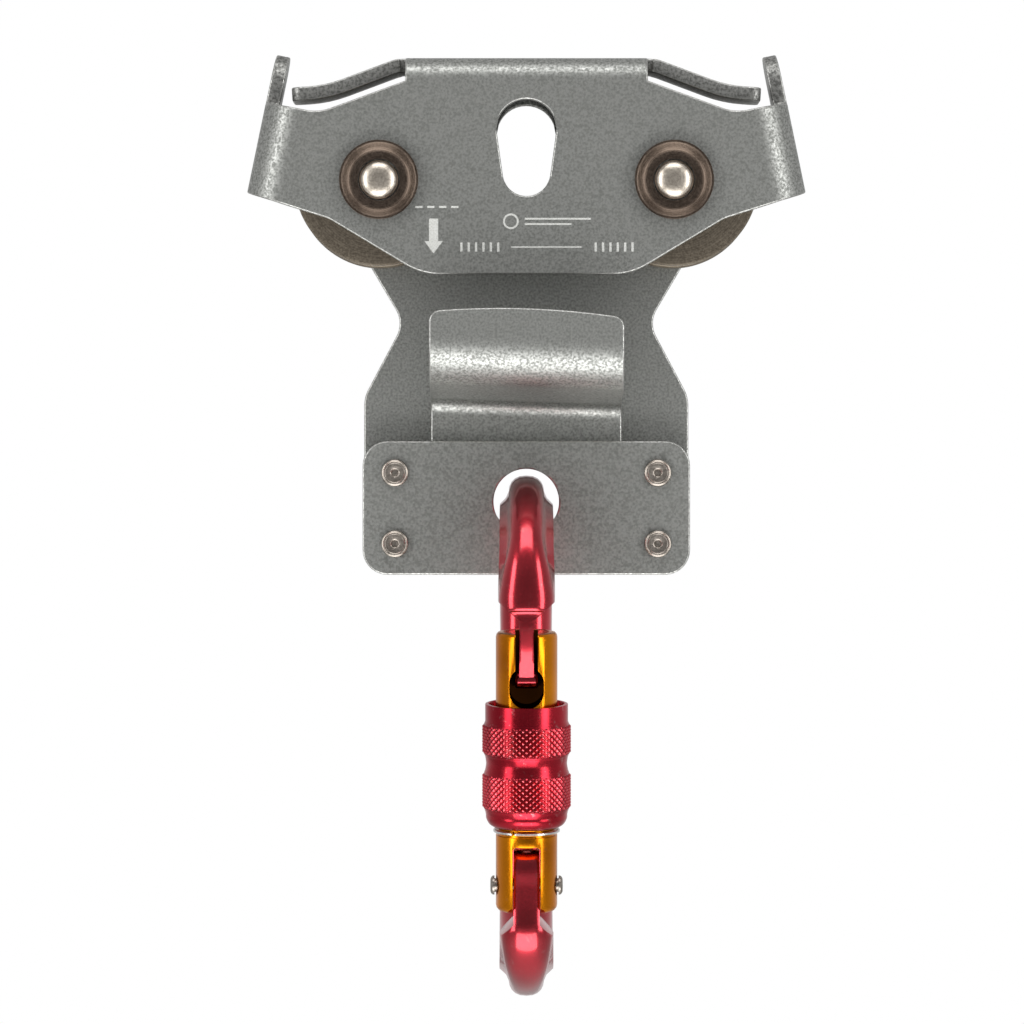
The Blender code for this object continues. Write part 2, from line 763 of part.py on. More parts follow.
def axle_profile():
    """The axle along Z: a plain shank with a peened dome standing out of each washer."""
    under = BACK_FACE + GAP + WASHER_BASE + GAP
    end = under + AXLE_HEAD_H
    top = [
        (0.0, end),
        (AXLE_FLAT_R, end),
        (0.86 * AXLE_HEAD_R, end - 0.25 * AXLE_HEAD_H),
        (AXLE_HEAD_R, end - 0.6 * AXLE_HEAD_H),
        (AXLE_HEAD_R, under),
        (AXLE_R, under),
    ]
    return top + [(radius, -z) for radius, z in reversed(top)]


def build_sheave_set(side_name, side, materials):
    """One axle with its washers, spacers, two ball bearings and the sheave. Local +Z points to the front."""
    place = (side * AXLE_X, 0.0, AXLE_Z)
    axis = new_axis(f"sheave_{side_name}_axis", None, place, (math.pi / 2, 0.0, 0.0))
    steel = materials["bearing_steel"]
    inner_race, outer_race, track = race_profiles()
    add_part(f"sheave_{side_name}", turned("sheave", sheave_profile(), FINE_ROUND), materials["sheave"], axis)
    add_part(f"axle_{side_name}", turned("axle", axle_profile(), ROUND, closed=False), materials["axle"], axis)
    bore = BEARING_BORE / 2 + BEARING_FIT
    spacer_r = bore + RACE_WALL
    reach = SHOULDER_WIDTH / 2 - GAP
    middle = turned("spacer", tube_profile(bore, spacer_r, -reach, reach), SMALL_ROUND)
    add_part(f"middle_spacer_{side_name}", middle, steel, axis)
    bearing_mid = SHOULDER_WIDTH / 2 + GAP + BEARING_WIDTH / 2
    bearing_face = bearing_mid + BEARING_WIDTH / 2
    for facing, sign in (("front", 1.0), ("back", -1.0)):
        tag = f"{side_name}_{facing}"
        turn = (0.0, 0.0, 0.0) if sign > 0 else (math.pi, 0.0, 0.0)
        place = (0.0, 0.0, sign * bearing_mid)
        add_part(f"bearing_inner_{tag}", turned("race", inner_race, SMALL_ROUND), steel, axis, place)
        add_part(f"bearing_outer_{tag}", turned("race", outer_race, ROUND), steel, axis, place)
        build_ball_cage(f"bearing_balls_{tag}", track, steel, axis, sign * bearing_mid)
        tube = tube_profile(bore, spacer_r, bearing_face + GAP, INNER_GAP / 2 - GAP)
        spacer = turned("spacer", tube, SMALL_ROUND)
        add_part(f"side_spacer_{tag}", spacer, steel, axis, (0, 0, 0), turn)
        washer = turned("washer", washer_profile(), ROUND)
        place = (0.0, 0.0, sign * (BACK_FACE + GAP))
        add_part(f"dished_washer_{tag}", washer, materials["washer"], axis, place, turn)


# ---------------------------------------------------------------- carabiner


def gate_axis_y(z):
    return PIN_Y - (z - PIN_Z) * math.tan(GATE_LEAN)


def carabiner_stations():
    """(y, z, flange width, rib width, depth) from the nose over the top, down the spine and up to the tongue."""
    full = FLANGE_WIDTH
    rib = RIB_WIDTH
    deep = BAR_DEPTH
    eye_y = PACK_MID
    nose_y = gate_axis_y(TOE_Z)
    tongue = [
        (gate_axis_y(PIN_Z + rise), PIN_Z + rise, full, full, depth)
        for rise, depth in (
            (-9.4 * MM, 12.2 * MM),
            (-5.0 * MM, 11.2 * MM),
            (0.0, TONGUE_DEPTH),
            (TONGUE_TOP - 3.2 * MM, TONGUE_DEPTH),
            (TONGUE_TOP - 0.9 * MM, 0.78 * TONGUE_DEPTH),
            (TONGUE_TOP, 0.43 * TONGUE_DEPTH),
        )
    ]
    return [
        (nose_y, TOE_Z - 1.2 * MM, full, full, 3.4 * MM),
        (nose_y - 1.2 * MM, -83.0 * MM, full, full, 5.8 * MM),
        (nose_y - 1.9 * MM, -78.4 * MM, full, full, 6.6 * MM),
        (nose_y - 1.05 * MM, -75.4 * MM, full, full, 10.4 * MM),
        (nose_y - 0.7 * MM, -71.6 * MM, 1.04 * full, 1.04 * full, 11.6 * MM),
        (-22.6 * MM, -67.0 * MM, 1.03 * full, 0.92 * full, 11.8 * MM),
        (-20.3 * MM, -61.6 * MM, full, rib, 12.0 * MM),
        (-15.4 * MM, -56.2 * MM, full, rib, 12.2 * MM),
        (-8.2 * MM, -52.6 * MM, full, rib, deep),
        (0.0, EYE_Z - 0.7 * MM, full, rib, deep),
        (eye_y, EYE_Z - 0.55 * MM, full, rib, deep),
        (eye_y + 8.8 * MM, EYE_Z - 1.2 * MM, full, rib, deep),
        (eye_y + 17.4 * MM, -55.4 * MM, full, rib, deep),
        (eye_y + 24.0 * MM, -62.0 * MM, full, rib, 12.2 * MM),
        (eye_y + 27.7 * MM, -71.0 * MM, full, rib, 11.8 * MM),
        (eye_y + 29.0 * MM, -83.0 * MM, 0.98 * full, rib, 11.4 * MM),
        (eye_y + 28.0 * MM, -101.0 * MM, 0.98 * full, rib, 11.2 * MM),
        (eye_y + 24.8 * MM, -119.0 * MM, 0.98 * full, rib, 11.4 * MM),
        (eye_y + 20.7 * MM, -133.0 * MM, 0.98 * full, rib, 11.6 * MM),
        (eye_y + 15.2 * MM, -143.6 * MM, full, rib, 11.8 * MM),
        (eye_y + 6.4 * MM, -150.8 * MM, full, rib, 12.0 * MM),
        (3.6 * MM, -153.4 * MM, full, rib, 12.0 * MM),
        (-6.6 * MM, -152.0 * MM, full, 1.02 * rib, 12.0 * MM),
        (-13.2 * MM, -148.6 * MM, full, 1.3 * rib, 12.2 * MM),
        *tongue,
    ]


def blend(a, b, c, d, t):
    """A point of the smooth curve through b and c."""
    return 0.5 * (2 * b + (c - a) * t + (2 * a - 5 * b + 4 * c - d) * t**2 + (3 * b - a - 3 * c + d) * t**3)


def smooth_stations(stations, parts):
    """The stations with further ones between them, on a smooth curve through them all."""
    first = [2 * a - b for a, b in zip(stations[0], stations[1])]
    last = [2 * a - b for a, b in zip(stations[-1], stations[-2])]
    padded = [first, *stations, last]
    smooth = []
    for i in range(1, len(padded) - 2):
        for part in range(parts):
            smooth.append([blend(*column, part / parts) for column in zip(*padded[i - 1 : i + 3])])
    smooth.append(list(stations[-1]))
    return smooth


def bar_section(flange, rib, depth, count):
    """Half of the bar's section as (across, outward): a round flange inside, a narrower round rib outside."""
    points = []
    inner = min(flange, depth) / 2
    outer = min(rib, depth) / 2
    for i in range(count + 1):
        outward = depth / 2 * math.cos(math.pi * i / count)
        rise = (outward + depth / 2 - inner) / max(depth - inner - outer, 1e-6)
        ease = min(max(rise, 0.0), 1.0)
        width = flange + (rib - flange) * ease * ease * (3 - 2 * ease)
        cap = max((outward - depth / 2 + outer) / outer, (inner - depth / 2 - outward) / inner, 0.0)
        points.append((width / 2 * max(1.0 - cap**2.4, 0.0) ** (1 / 2.4), outward))
    return points


def build_loop(name, stations, count):
    """The bar swept along its stations in the plane x = 0, with its ends closed."""
    bm = bmesh.new()
    rings = []
    for i, (y, z, flange, rib, depth) in enumerate(stations):
        before = stations[max(i - 1, 0)]
        after = stations[min(i + 1, len(stations) - 1)]
        ahead = Vector((0.0, after[0] - before[0], after[1] - before[1])).normalized()
        outward = Vector((0.0, -ahead.z, ahead.y))
        half = bar_section(flange, rib, depth, count)
        around = half + [(-x, out) for x, out in reversed(half[1:-1])]
        rings.append([bm.verts.new(Vector((x, y, z)) + outward * out) for x, out in around])
    for lower, upper in zip(rings, rings[1:]):
        for i in range(len(lower)):
            j = (i + 1) % len(lower)
            bm.faces.new((lower[i], lower[j], upper[j], upper[i]))
    bm.faces.new(rings[0])
    bm.faces.new(rings[-1])
    bmesh.ops.recalc_face_normals(bm, faces=bm.faces)
    mesh = bpy.data.meshes.new(name)
    bm.to_mesh(mesh)
    bm.free()
    return mesh


def moved(mesh, offset):
    mesh.transform(Matrix.Translation(offset))
    return mesh


def build_carabiner(material, axis):
    """The forged loop: its nose and its tongue are flattened to fit the gate's mouth and fork."""
    eye = -Vector(axis.location)
    loop = moved(build_loop("carabiner_body", smooth_stations(carabiner_stations(), 2), 7), eye)
    shade(loop, 50.0)
    body = add_part("carabiner_body", loop, material, axis)
    for side, tag in ((-1.0, "left"), (1.0, "right")):
        inner = side * TONGUE_WIDTH / 2
        low, high = sorted((inner, side * FLANGE_WIDTH))

        def shoulder(point):
            if point.z < PIN_Z:
                slope = SHOULDER_SLOPE * (abs(point.x) - abs(inner)) + SHOULDER_TILT * (point.y - PIN_Y)
                point.z = SHOULDER_Z + slope
            return point

        size = 2 * BARREL_R
        near = (low, PIN_Y - size, PIN_Z - size)
        wedge = box_mesh("shoulder", near, (high, PIN_Y + size, PIN_Z + size), shoulder)
        combine(body, add_cutter("shoulder_" + tag, moved(wedge, eye), axis), "DIFFERENCE")
        inner = side * NECK_WIDTH / 2
        low, high = sorted((inner, side * FLANGE_WIDTH))

        def cheek(point):
            if point.z > TOE_Z:
                point.z = NECK_TOP_Z + NECK_SLOPE * (abs(point.x) - abs(inner))
            return point

        nose_y = gate_axis_y(NECK_TOP_Z)
        wedge = box_mesh("cheek", (low, nose_y - size, TOE_Z - size), (high, nose_y + size, 0.0), cheek)
        combine(body, add_cutter("cheek_" + tag, moved(wedge, eye), axis), "DIFFERENCE")
    toe_profile = [
        (0.0, TOE_WIDTH / 2),
        (0.75 * TOE_R, TOE_WIDTH / 2),
        (TOE_R, TOE_WIDTH / 2 - CHAMFER),
        (TOE_R, CHAMFER - TOE_WIDTH / 2),
        (0.75 * TOE_R, -TOE_WIDTH / 2),
        (0.0, -TOE_WIDTH / 2),
    ]
    across = (0.0, math.pi / 2, 0.0)
    toe = turned("toe", toe_profile, SMALL_ROUND, closed=False)
    toe_place = Vector((0.0, gate_axis_y(TOE_Z) - TOE_FORWARD, TOE_Z)) + eye
    combine(body, add_cutter("toe", toe, axis, toe_place, across), "UNION")
    hole = rod_mesh("pin_hole", PIN_R + GAP, -FLANGE_WIDTH, FLANGE_WIDTH)
    combine(body, add_cutter("pin_hole", hole, axis, Vector((0.0, PIN_Y, PIN_Z)) + eye, across), "DIFFERENCE")


def build_hinge_pin(material, axis):
    end = BARREL_R + PIN_HEAD_OUT
    top = [
        (0.0, end),
        (0.7 * PIN_HEAD_R, end),
        (PIN_HEAD_R, end - 0.4 * PIN_HEAD_OUT),
        (PIN_HEAD_R, BARREL_R + GAP),
        (PIN_R, BARREL_R + GAP),
    ]
    profile = top + [(radius, -z) for radius, z in reversed(top)]
    mesh = turned("gate_hinge_pin", profile, SMALL_ROUND, closed=False)
    place = Vector((0.0, PIN_Y, PIN_Z)) - Vector(axis.location)
    add_part("gate_hinge_pin", mesh, material, axis, place, (0.0, math.pi / 2, 0.0))


# ---------------------------------------------------------------- gate


def build_gate_barrel(material, gate):
    groove_top = RING_LOW + RING_HEIGHT + GAP
    groove_low = RING_LOW - GAP
    floor = BARREL_R - RING_GROOVE
    profile = [
        (0.0, BARREL_TOP),
        (BARREL_R - 2 * CHAMFER, BARREL_TOP),
        (BARREL_R - 0.3 * CHAMFER, BARREL_TOP - 0.6 * CHAMFER),
        (BARREL_R, BARREL_TOP - 2 * CHAMFER),
        (BARREL_R, groove_top),
        (floor, groove_top),
        (floor, groove_low),
        (BARREL_R, groove_low),
        (BARREL_R, BARREL_LOW + FORK_EASE),
        (BARREL_R - 0.3 * FORK_EASE, BARREL_LOW + 0.3 * FORK_EASE),
        (BARREL_R - FORK_EASE, BARREL_LOW),
        (0.0, BARREL_LOW),
    ]
    barrel = add_part("gate_barrel", turned("gate_barrel", profile, ROUND, closed=False), material, gate)
    wide = BARREL_R + 2 * GAP
    side_view = [
        (-wide, BARREL_LOW - GAP, BARREL_ROUND),
        (wide, BARREL_LOW - GAP, BARREL_ROUND),
        (wide, BARREL_TOP + 5 * MM, 0.0),
        (-wide, BARREL_TOP + 5 * MM, 0.0),
    ]
    round_end = profile_prism("fork_end", side_view, 2 * BARREL_R, 6)
    combine(barrel, add_cutter("fork_end", round_end, gate), "INTERSECT")
    fork = TONGUE_WIDTH / 2 + FORK_CLEARANCE
    fork_corners = [
        (-fork, BARREL_LOW - 5 * MM, 0.0),
        (fork, BARREL_LOW - 5 * MM, 0.0),
        (fork, FORK_TOP, 0.9 * MM),
        (-fork, FORK_TOP, 0.9 * MM),
    ]
    slot = upright(sheet_mesh("fork_slot", [rounded(fork_corners)], 4 * BARREL_R), 0.0)
    combine(barrel, add_cutter("fork_slot", slot, gate), "DIFFERENCE")
    depth = MOUTH_BACK + 2 * BARREL_R
    middle = MOUTH_BACK - depth / 2
    mouth_corners = [
        (-MOUTH_WIDTH / 2, (WINDOW_LOW + WINDOW_TOP) / 2, 0.0),
        (MOUTH_WIDTH / 2, (WINDOW_LOW + WINDOW_TOP) / 2, 0.0),
        (MOUTH_WIDTH / 2, BARREL_TOP + 5 * MM, 0.0),
        (-MOUTH_WIDTH / 2, BARREL_TOP + 5 * MM, 0.0),
    ]
    mouth = upright(sheet_mesh("gate_mouth", [rounded(mouth_corners)], depth), middle)
    combine(barrel, add_cutter("gate_mouth", mouth, gate), "DIFFERENCE")
    radius = WINDOW_WIDTH / 2 - 0.01 * MM
    window_corners = [
        (x * WINDOW_WIDTH / 2, z, radius)
        for x, z in ((-1, WINDOW_LOW), (1, WINDOW_LOW), (1, WINDOW_TOP), (-1, WINDOW_TOP))
    ]
    window = upright(sheet_mesh("gate_window", [rounded(window_corners, 6)], depth), middle)
    combine(barrel, add_cutter("gate_window", window, gate), "DIFFERENCE")
    bore = rod_mesh("spring_bore", BORE_R, FORK_TOP - MM, BORE_TOP)
    combine(barrel, add_cutter("spring_bore", bore, gate), "DIFFERENCE")
    hole = rod_mesh("barrel_pin_hole", PIN_R + GAP, -2 * BARREL_R, 2 * BARREL_R)
    across = (0.0, math.pi / 2, 0.0)
    combine(barrel, add_cutter("barrel_pin_hole", hole, gate, (0.0, 0.0, 0.0), across), "DIFFERENCE")


def build_stop_ring(material, gate):
    """A split ring in the barrel's groove. It carries the sleeve, and its mouth is at the front left."""
    inner = BARREL_R - RING_GROOVE + GAP
    outer = BARREL_R + RING_OUT
    profile = tube_profile(inner, outer, RING_LOW, RING_LOW + RING_HEIGHT)
    ring = add_part("sleeve_stop_ring", turned("sleeve_stop_ring", profile, FINE_ROUND), material, gate)
    low = (-RING_MOUTH_WIDTH / 2, -2 * outer, RING_LOW - MM)
    high = (RING_MOUTH_WIDTH / 2, 0.0, RING_LOW + RING_HEIGHT + MM)
    notch = box_mesh("ring_mouth", low, high)
    combine(ring, add_cutter("ring_mouth", notch, gate, (0, 0, 0), (0.0, 0.0, -RING_MOUTH)), "DIFFERENCE")


def build_sleeve(material, gate):
    """The locking sleeve, let down: a plain cup at the top, two knurled bands and a rounded foot."""
    bore = BARREL_R + GAP
    cup = SLEEVE_R - SLEEVE_CUP_WALL
    low_a, top_a = LOWER_BAND
    low_b, top_b = UPPER_BAND
    profile = [
        (cup, SLEEVE_TOP),
        (SLEEVE_R, SLEEVE_TOP),
        (SLEEVE_R, top_b + CHAMFER),
        (KNURL_R, top_b),
        (KNURL_R, low_b + CHAMFER),
        (SLEEVE_R, low_b),
        (SLEEVE_R - 0.2 * MM, (low_b + top_a) / 2 + CHAMFER),
        (SLEEVE_R, top_a + 2 * CHAMFER),
        (KNURL_R, top_a),
        (KNURL_R, low_a),
        (SLEEVE_R, low_a - CHAMFER),
        (SLEEVE_R - 0.2 * MM, SLEEVE_LOW + 2.2 * MM),
        (SLEEVE_R - 0.8 * MM, SLEEVE_LOW + 0.7 * MM),
        (SLEEVE_R - 1.7 * MM, SLEEVE_LOW),
        (bore, SLEEVE_LOW),
        (bore, SLEEVE_TOP - SLEEVE_CUP_DEPTH),
        (cup, SLEEVE_TOP - SLEEVE_CUP_DEPTH + MM),
    ]
    add_part("locking_sleeve", turned("locking_sleeve", profile, FINE_ROUND), material, gate)


def build_spring_and_plunger(spring_material, plunger_material, gate):
    """A coil in the barrel's bore presses a domed plunger on the tongue, and so closes the gate."""
    tip = TONGUE_TOP + GAP
    top = tip + PLUNGER_HEIGHT
    dome = []
    for step in range(1, 5):
        angle = math.pi / 2 * step / 4
        dome.append((PLUNGER_R * math.cos(angle), tip + PLUNGER_R * (1 - math.sin(angle))))
    profile = [(0.0, top), (PLUNGER_R, top), (PLUNGER_R, tip + PLUNGER_R), *dome]
    add_part("gate_plunger", turned("gate_plunger", profile, SMALL_ROUND, closed=False), plunger_material, gate)
    curve = bpy.data.curves.new("gate_spring", "CURVE")
    curve.dimensions = "3D"
    curve.bevel_depth = SPRING_WIRE
    curve.bevel_resolution = 1
    curve.use_fill_caps = True
    coil_r = BORE_R - GAP - SPRING_WIRE
    low = top + GAP + SPRING_WIRE
    high = BORE_TOP - GAP - SPRING_WIRE
    count = SPRING_TURNS * SPRING_SIDES
    spline = curve.splines.new("POLY")
    spline.points.add(count)
    for i, point in enumerate(spline.points):
        angle = 2 * math.pi * i / SPRING_SIDES
        height = low + (high - low) * i / count
        point.co = (coil_r * math.cos(angle), coil_r * math.sin(angle), height, 1.0)
    holder = bpy.data.objects.new("gate_spring_curve", curve)
    CUTTERS.objects.link(holder)
    graph = bpy.context.evaluated_depsgraph_get()
    mesh = bpy.data.meshes.new_from_object(holder.evaluated_get(graph))
    bpy.data.objects.remove(holder)
    weld(mesh)
    shade(mesh)
    add_part("gate_spring", mesh, spring_material, gate)


# ---------------------------------------------------------------- assembly

clear_scene()
PARTS = new_collection("zip_line_trolley")
CUTTERS = new_collection("cutters")
CUTTERS.hide_render = True

MATERIALS = {
    "sheet": new_material("tumbled_steel", (0.23, 0.235, 0.22), 0.42, 1.0),
    "rivet": new_material("rivet_steel", (0.30, 0.28, 0.25), 0.30, 1.0),
    "axle": new_material("axle_steel", (0.42, 0.39, 0.36), 0.22, 1.0),
    "washer": new_material("bronzed_steel", (0.10, 0.065, 0.045), 0.30, 1.0),
    "sheave": new_material("sheave_alloy", (0.12, 0.10, 0.075), 0.38, 1.0),
    "bearing_steel": new_material("bearing_steel", (0.55, 0.55, 0.56), 0.18, 1.0),
    "red": new_material("red_anodised", (0.42, 0.018, 0.03), 0.25, 1.0),
    "gold": new_material("gold_anodised", (0.62, 0.27, 0.01), 0.28, 1.0),
    "spring": new_material("spring_steel", (0.50, 0.50, 0.52), 0.25, 1.0),
}

build_saddle_frame(MATERIALS["sheet"])
build_keeper(MATERIALS["sheet"])
build_connection_plate(MATERIALS["sheet"])
build_rivets(MATERIALS["rivet"])
for side_name, side in (("left", -1.0), ("right", 1.0)):
    build_sheave_set(side_name, side, MATERIALS)

CARABINER_AXIS = new_axis("carabiner_axis", None, (0.0, PACK_MID, EYE_Z))
GATE_PLACE = Vector((0.0, PIN_Y, PIN_Z)) - Vector(CARABINER_AXIS.location)
GATE_AXIS = new_axis("gate_axis", CARABINER_AXIS, GATE_PLACE, (GATE_LEAN, 0.0, 0.0))
build_carabiner(MATERIALS["red"], CARABINER_AXIS)
build_hinge_pin(MATERIALS["axle"], CARABINER_AXIS)
build_gate_barrel(MATERIALS["gold"], GATE_AXIS)
build_stop_ring(MATERIALS["spring"], GATE_AXIS)
build_sleeve(MATERIALS["red"], GATE_AXIS)
build_spring_and_plunger(MATERIALS["spring"], MATERIALS["axle"], GATE_AXIS)
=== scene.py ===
# %% [markdown]
# # A zip line trolley, finished like the real one
# The trolley is one thick steel sheet folded over the cable, two grooved wheels between its walls, a plate
# with a big hole, and a red carabiner with a golden gate. The CAD frame already holds every piece at its
# real size, with plain surfaces and coarse curves. This lesson keeps those places and makes the surfaces:
# soft sheared rims, tumbled steel, turned metal and a diamond knurl. Everything is in metres.

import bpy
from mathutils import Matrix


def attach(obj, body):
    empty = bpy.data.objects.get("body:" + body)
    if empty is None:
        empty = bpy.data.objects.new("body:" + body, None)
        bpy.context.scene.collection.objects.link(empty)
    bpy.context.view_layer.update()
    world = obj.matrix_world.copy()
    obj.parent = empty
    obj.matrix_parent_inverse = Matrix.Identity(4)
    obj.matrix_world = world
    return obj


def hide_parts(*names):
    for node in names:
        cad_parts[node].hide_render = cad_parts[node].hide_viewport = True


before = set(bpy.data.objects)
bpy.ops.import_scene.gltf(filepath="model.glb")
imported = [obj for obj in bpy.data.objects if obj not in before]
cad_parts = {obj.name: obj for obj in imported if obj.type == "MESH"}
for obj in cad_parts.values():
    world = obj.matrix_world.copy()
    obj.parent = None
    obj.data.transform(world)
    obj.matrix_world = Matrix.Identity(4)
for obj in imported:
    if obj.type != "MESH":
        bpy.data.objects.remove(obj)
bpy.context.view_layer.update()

import math

import bmesh
import bpy
from mathutils import Matrix, Vector
from mathutils.geometry import delaunay_2d_cdt

MM = 0.001

# %% [markdown]
# ## Camera, light and floor
# Small polished hardware is lit with two tall soft boxes, one on each side, and a wide one above and one
# below. The wall behind is lighter than the room in front, so edges that turn away catch a thin line of light
# and the metal facing the camera keeps its colour. A background that only rays from the camera see is plain
# white, and the other rays meet a grey that grows lighter towards the back.

# %% Camera, soft boxes, room and floor
scene = bpy.context.scene
scene.view_settings.view_transform = "Standard"

camera = bpy.data.objects.new("camera", bpy.data.cameras.new("camera"))
camera.location = (-3.15 * MM, -1.45, -53.2 * MM)
camera.rotation_euler = (math.pi / 2, 0.0, 0.0)
camera.data.sensor_width = 36.0
camera.data.lens = 232.4
camera.data.clip_start = 0.01
scene.collection.objects.link(camera)
scene.camera = camera


def soft_box(name, place, aim, width, height, power):
    """A rectangular lamp at this place, turned to face the aim."""
    lamp = bpy.data.lights.new(name, "AREA")
    lamp.shape = "RECTANGLE"
    lamp.size = width
    lamp.size_y = height
    lamp.energy = power
    made = bpy.data.objects.new(name, lamp)
    made.location = place
    made.rotation_euler = (Vector(aim) - Vector(place)).to_track_quat("-Z", "Y").to_euler()
    made.visible_camera = False
    scene.collection.objects.link(made)
    return made


MIDDLE = (0.0, 0.0, -0.05)
soft_box("left_box", (-0.84, -0.66, 0.05), MIDDLE, 0.36, 1.1, 5.6)
soft_box("right_box", (0.84, -0.66, 0.05), MIDDLE, 0.36, 1.1, 5.6)
soft_box("top_box", (0.0, -0.55, 0.95), MIDDLE, 0.9, 0.5, 5.0)
soft_box("low_box", (0.0, -0.55, -0.76), MIDDLE, 0.9, 0.6, 7.0)


def wire(tree, kind, inputs=None, **settings):
    """One node, with its settings and with each input set to a value or joined to an output."""
    node = tree.nodes.new(kind)
    for key, value in settings.items():
        setattr(node, key, value)
    for key, value in (inputs or {}).items():
        if isinstance(value, bpy.types.NodeSocket):
            tree.links.new(value, node.inputs[key])
        else:
            node.inputs[key].default_value = value
    return node


ROOM_FRONT = 0.22
ROOM_BACK = 0.66
room = bpy.data.worlds.new("studio_room")
room.use_nodes = True
scene.world = room
tree = room.node_tree
tree.nodes.clear()
towards = wire(tree, "ShaderNodeSeparateXYZ", {0: wire(tree, "ShaderNodeTexCoord").outputs["Generated"]})
grey = wire(tree, "ShaderNodeMapRange", {
    "Value": towards.outputs["Y"], "From Min": -1.0, "From Max": 0.8,
    "To Min": ROOM_FRONT, "To Max": ROOM_BACK})
lit = wire(tree, "ShaderNodeBackground", {"Color": grey.outputs[0]})
seen = wire(tree, "ShaderNodeBackground", {"Color": (1.0, 1.0, 1.0, 1.0)})
path = wire(tree, "ShaderNodeLightPath")
both = wire(tree, "ShaderNodeMixShader", {
    0: path.outputs["Is Camera Ray"], 1: lit.outputs[0], 2: seen.outputs[0]})
wire(tree, "ShaderNodeOutputWorld", {"Surface": both.outputs[0]})

FLOOR_Z = -0.9
FLOOR_HALF = 2.6
floor_mesh = bpy.data.meshes.new("floor")
floor_corners = [(x * FLOOR_HALF, y * FLOOR_HALF, FLOOR_Z) for x, y in ((-1, -1), (1, -1), (1, 1), (-1, 1))]
floor_mesh.from_pydata(floor_corners, [], [(0, 1, 2, 3)])
floor = bpy.data.objects.new("floor", floor_mesh)
scene.collection.objects.link(floor)
floor_paint = bpy.data.materials.new("pale_floor")
floor_paint.use_nodes = True
paint = floor_paint.node_tree.nodes["Principled BSDF"].inputs
paint["Base Color"].default_value = (0.86, 0.86, 0.85, 1.0)
paint["Roughness"].default_value = 0.9
floor_mesh.materials.append(floor_paint)
print("camera at", [round(v, 4) for v in camera.location])

# %% [markdown]
# ## Effects that several finishes share
# Three patterns come back on several metals: the fine grain that a tumbling drum or a glass-bead blast
# leaves, the rings that a lathe leaves round an axle, and the slow unevenness of a dyed, anodised coat. Each
# is built once as a shader group with named inputs. A group gives colours, masks and heights only, and the
# shader stays in the material.

# %% Shader groups: grain, lathe rings and coat
AXLE_X = 32.1 * MM
AXLE_Z = 19.0 * MM
FLOAT = "NodeSocketFloat"
COLOUR = "NodeSocketColor"


def new_group(name, inputs, outputs):
    """An empty shader group with its named inputs (name, kind, value) and outputs (name, kind)."""
    group = bpy.data.node_groups.new(name, "ShaderNodeTree")
    for label, kind, value in inputs:
        group.interface.new_socket(name=label, in_out="INPUT", socket_type=kind).default_value = value
    for label, kind in outputs:
        group.interface.new_socket(name=label, in_out="OUTPUT", socket_type=kind)
    return group, group.nodes.new("NodeGroupInput").outputs


def math_node(tree, operation, first, second=0.0, clamp=False):
    node = wire(tree, "ShaderNodeMath", {0: first, 1: second}, operation=operation)
    node.use_clamp = clamp
    return node.outputs[0]


def blended(tree, first, share, second):
    """This share of the first value, and the rest of the second."""
    parts = [math_node(tree, "MULTIPLY", first, share), math_node(tree, "MULTIPLY", second, 1.0 - share)]
    return math_node(tree, "ADD", *parts)


def squared(tree, value):
    return math_node(tree, "MULTIPLY", value, value)


def object_place(tree):
    return wire(tree, "ShaderNodeTexCoord").outputs["Object"]


def mixed(tree, share, low, high):
    """A colour between two colours."""
    return wire(tree, "ShaderNodeMix", {0: share, 6: low, 7: high}, data_type="RGBA").outputs[2]


def ranged(tree, value, low, high, to_low=0.0, to_high=1.0):
    return wire(tree, "ShaderNodeMapRange", {
        "Value": value, "From Min": low, "From Max": high, "To Min": to_low, "To Max": to_high}).outputs[0]


def build_grain():
    """Speckle of two sizes: pits of about half a millimetre on patches of two or three millimetres."""
    group, given = new_group(
        "tumbled_grain",
        (("Dark", COLOUR, (0.1, 0.1, 0.1, 1.0)), ("Light", COLOUR, (0.5, 0.5, 0.5, 1.0)),
         ("Grain", FLOAT, 2700.0), ("Patch", FLOAT, 420.0), ("Spread", FLOAT, 0.11)),
        (("Color", COLOUR), ("Tone", FLOAT), ("Height", FLOAT)))
    where = object_place(group)
    fine = wire(group, "ShaderNodeTexNoise", {
        "Vector": where, "Scale": given["Grain"], "Detail": 3.0, "Roughness": 0.6}).outputs["Fac"]
    broad = wire(group, "ShaderNodeTexNoise", {
        "Vector": where, "Scale": given["Patch"], "Detail": 2.0}).outputs["Fac"]
    low = math_node(group, "SUBTRACT", 0.5, given["Spread"])
    high = math_node(group, "ADD", 0.5, given["Spread"])
    speckle = wire(group, "ShaderNodeMapRange", {"Value": fine, "From Min": low, "From Max": high}).outputs[0]
    tone = blended(group, speckle, 0.75, broad)
    colour = mixed(group, tone, given["Dark"], given["Light"])
    wire(group, "NodeGroupOutput", {"Color": colour, "Tone": tone, "Height": fine})
    return group


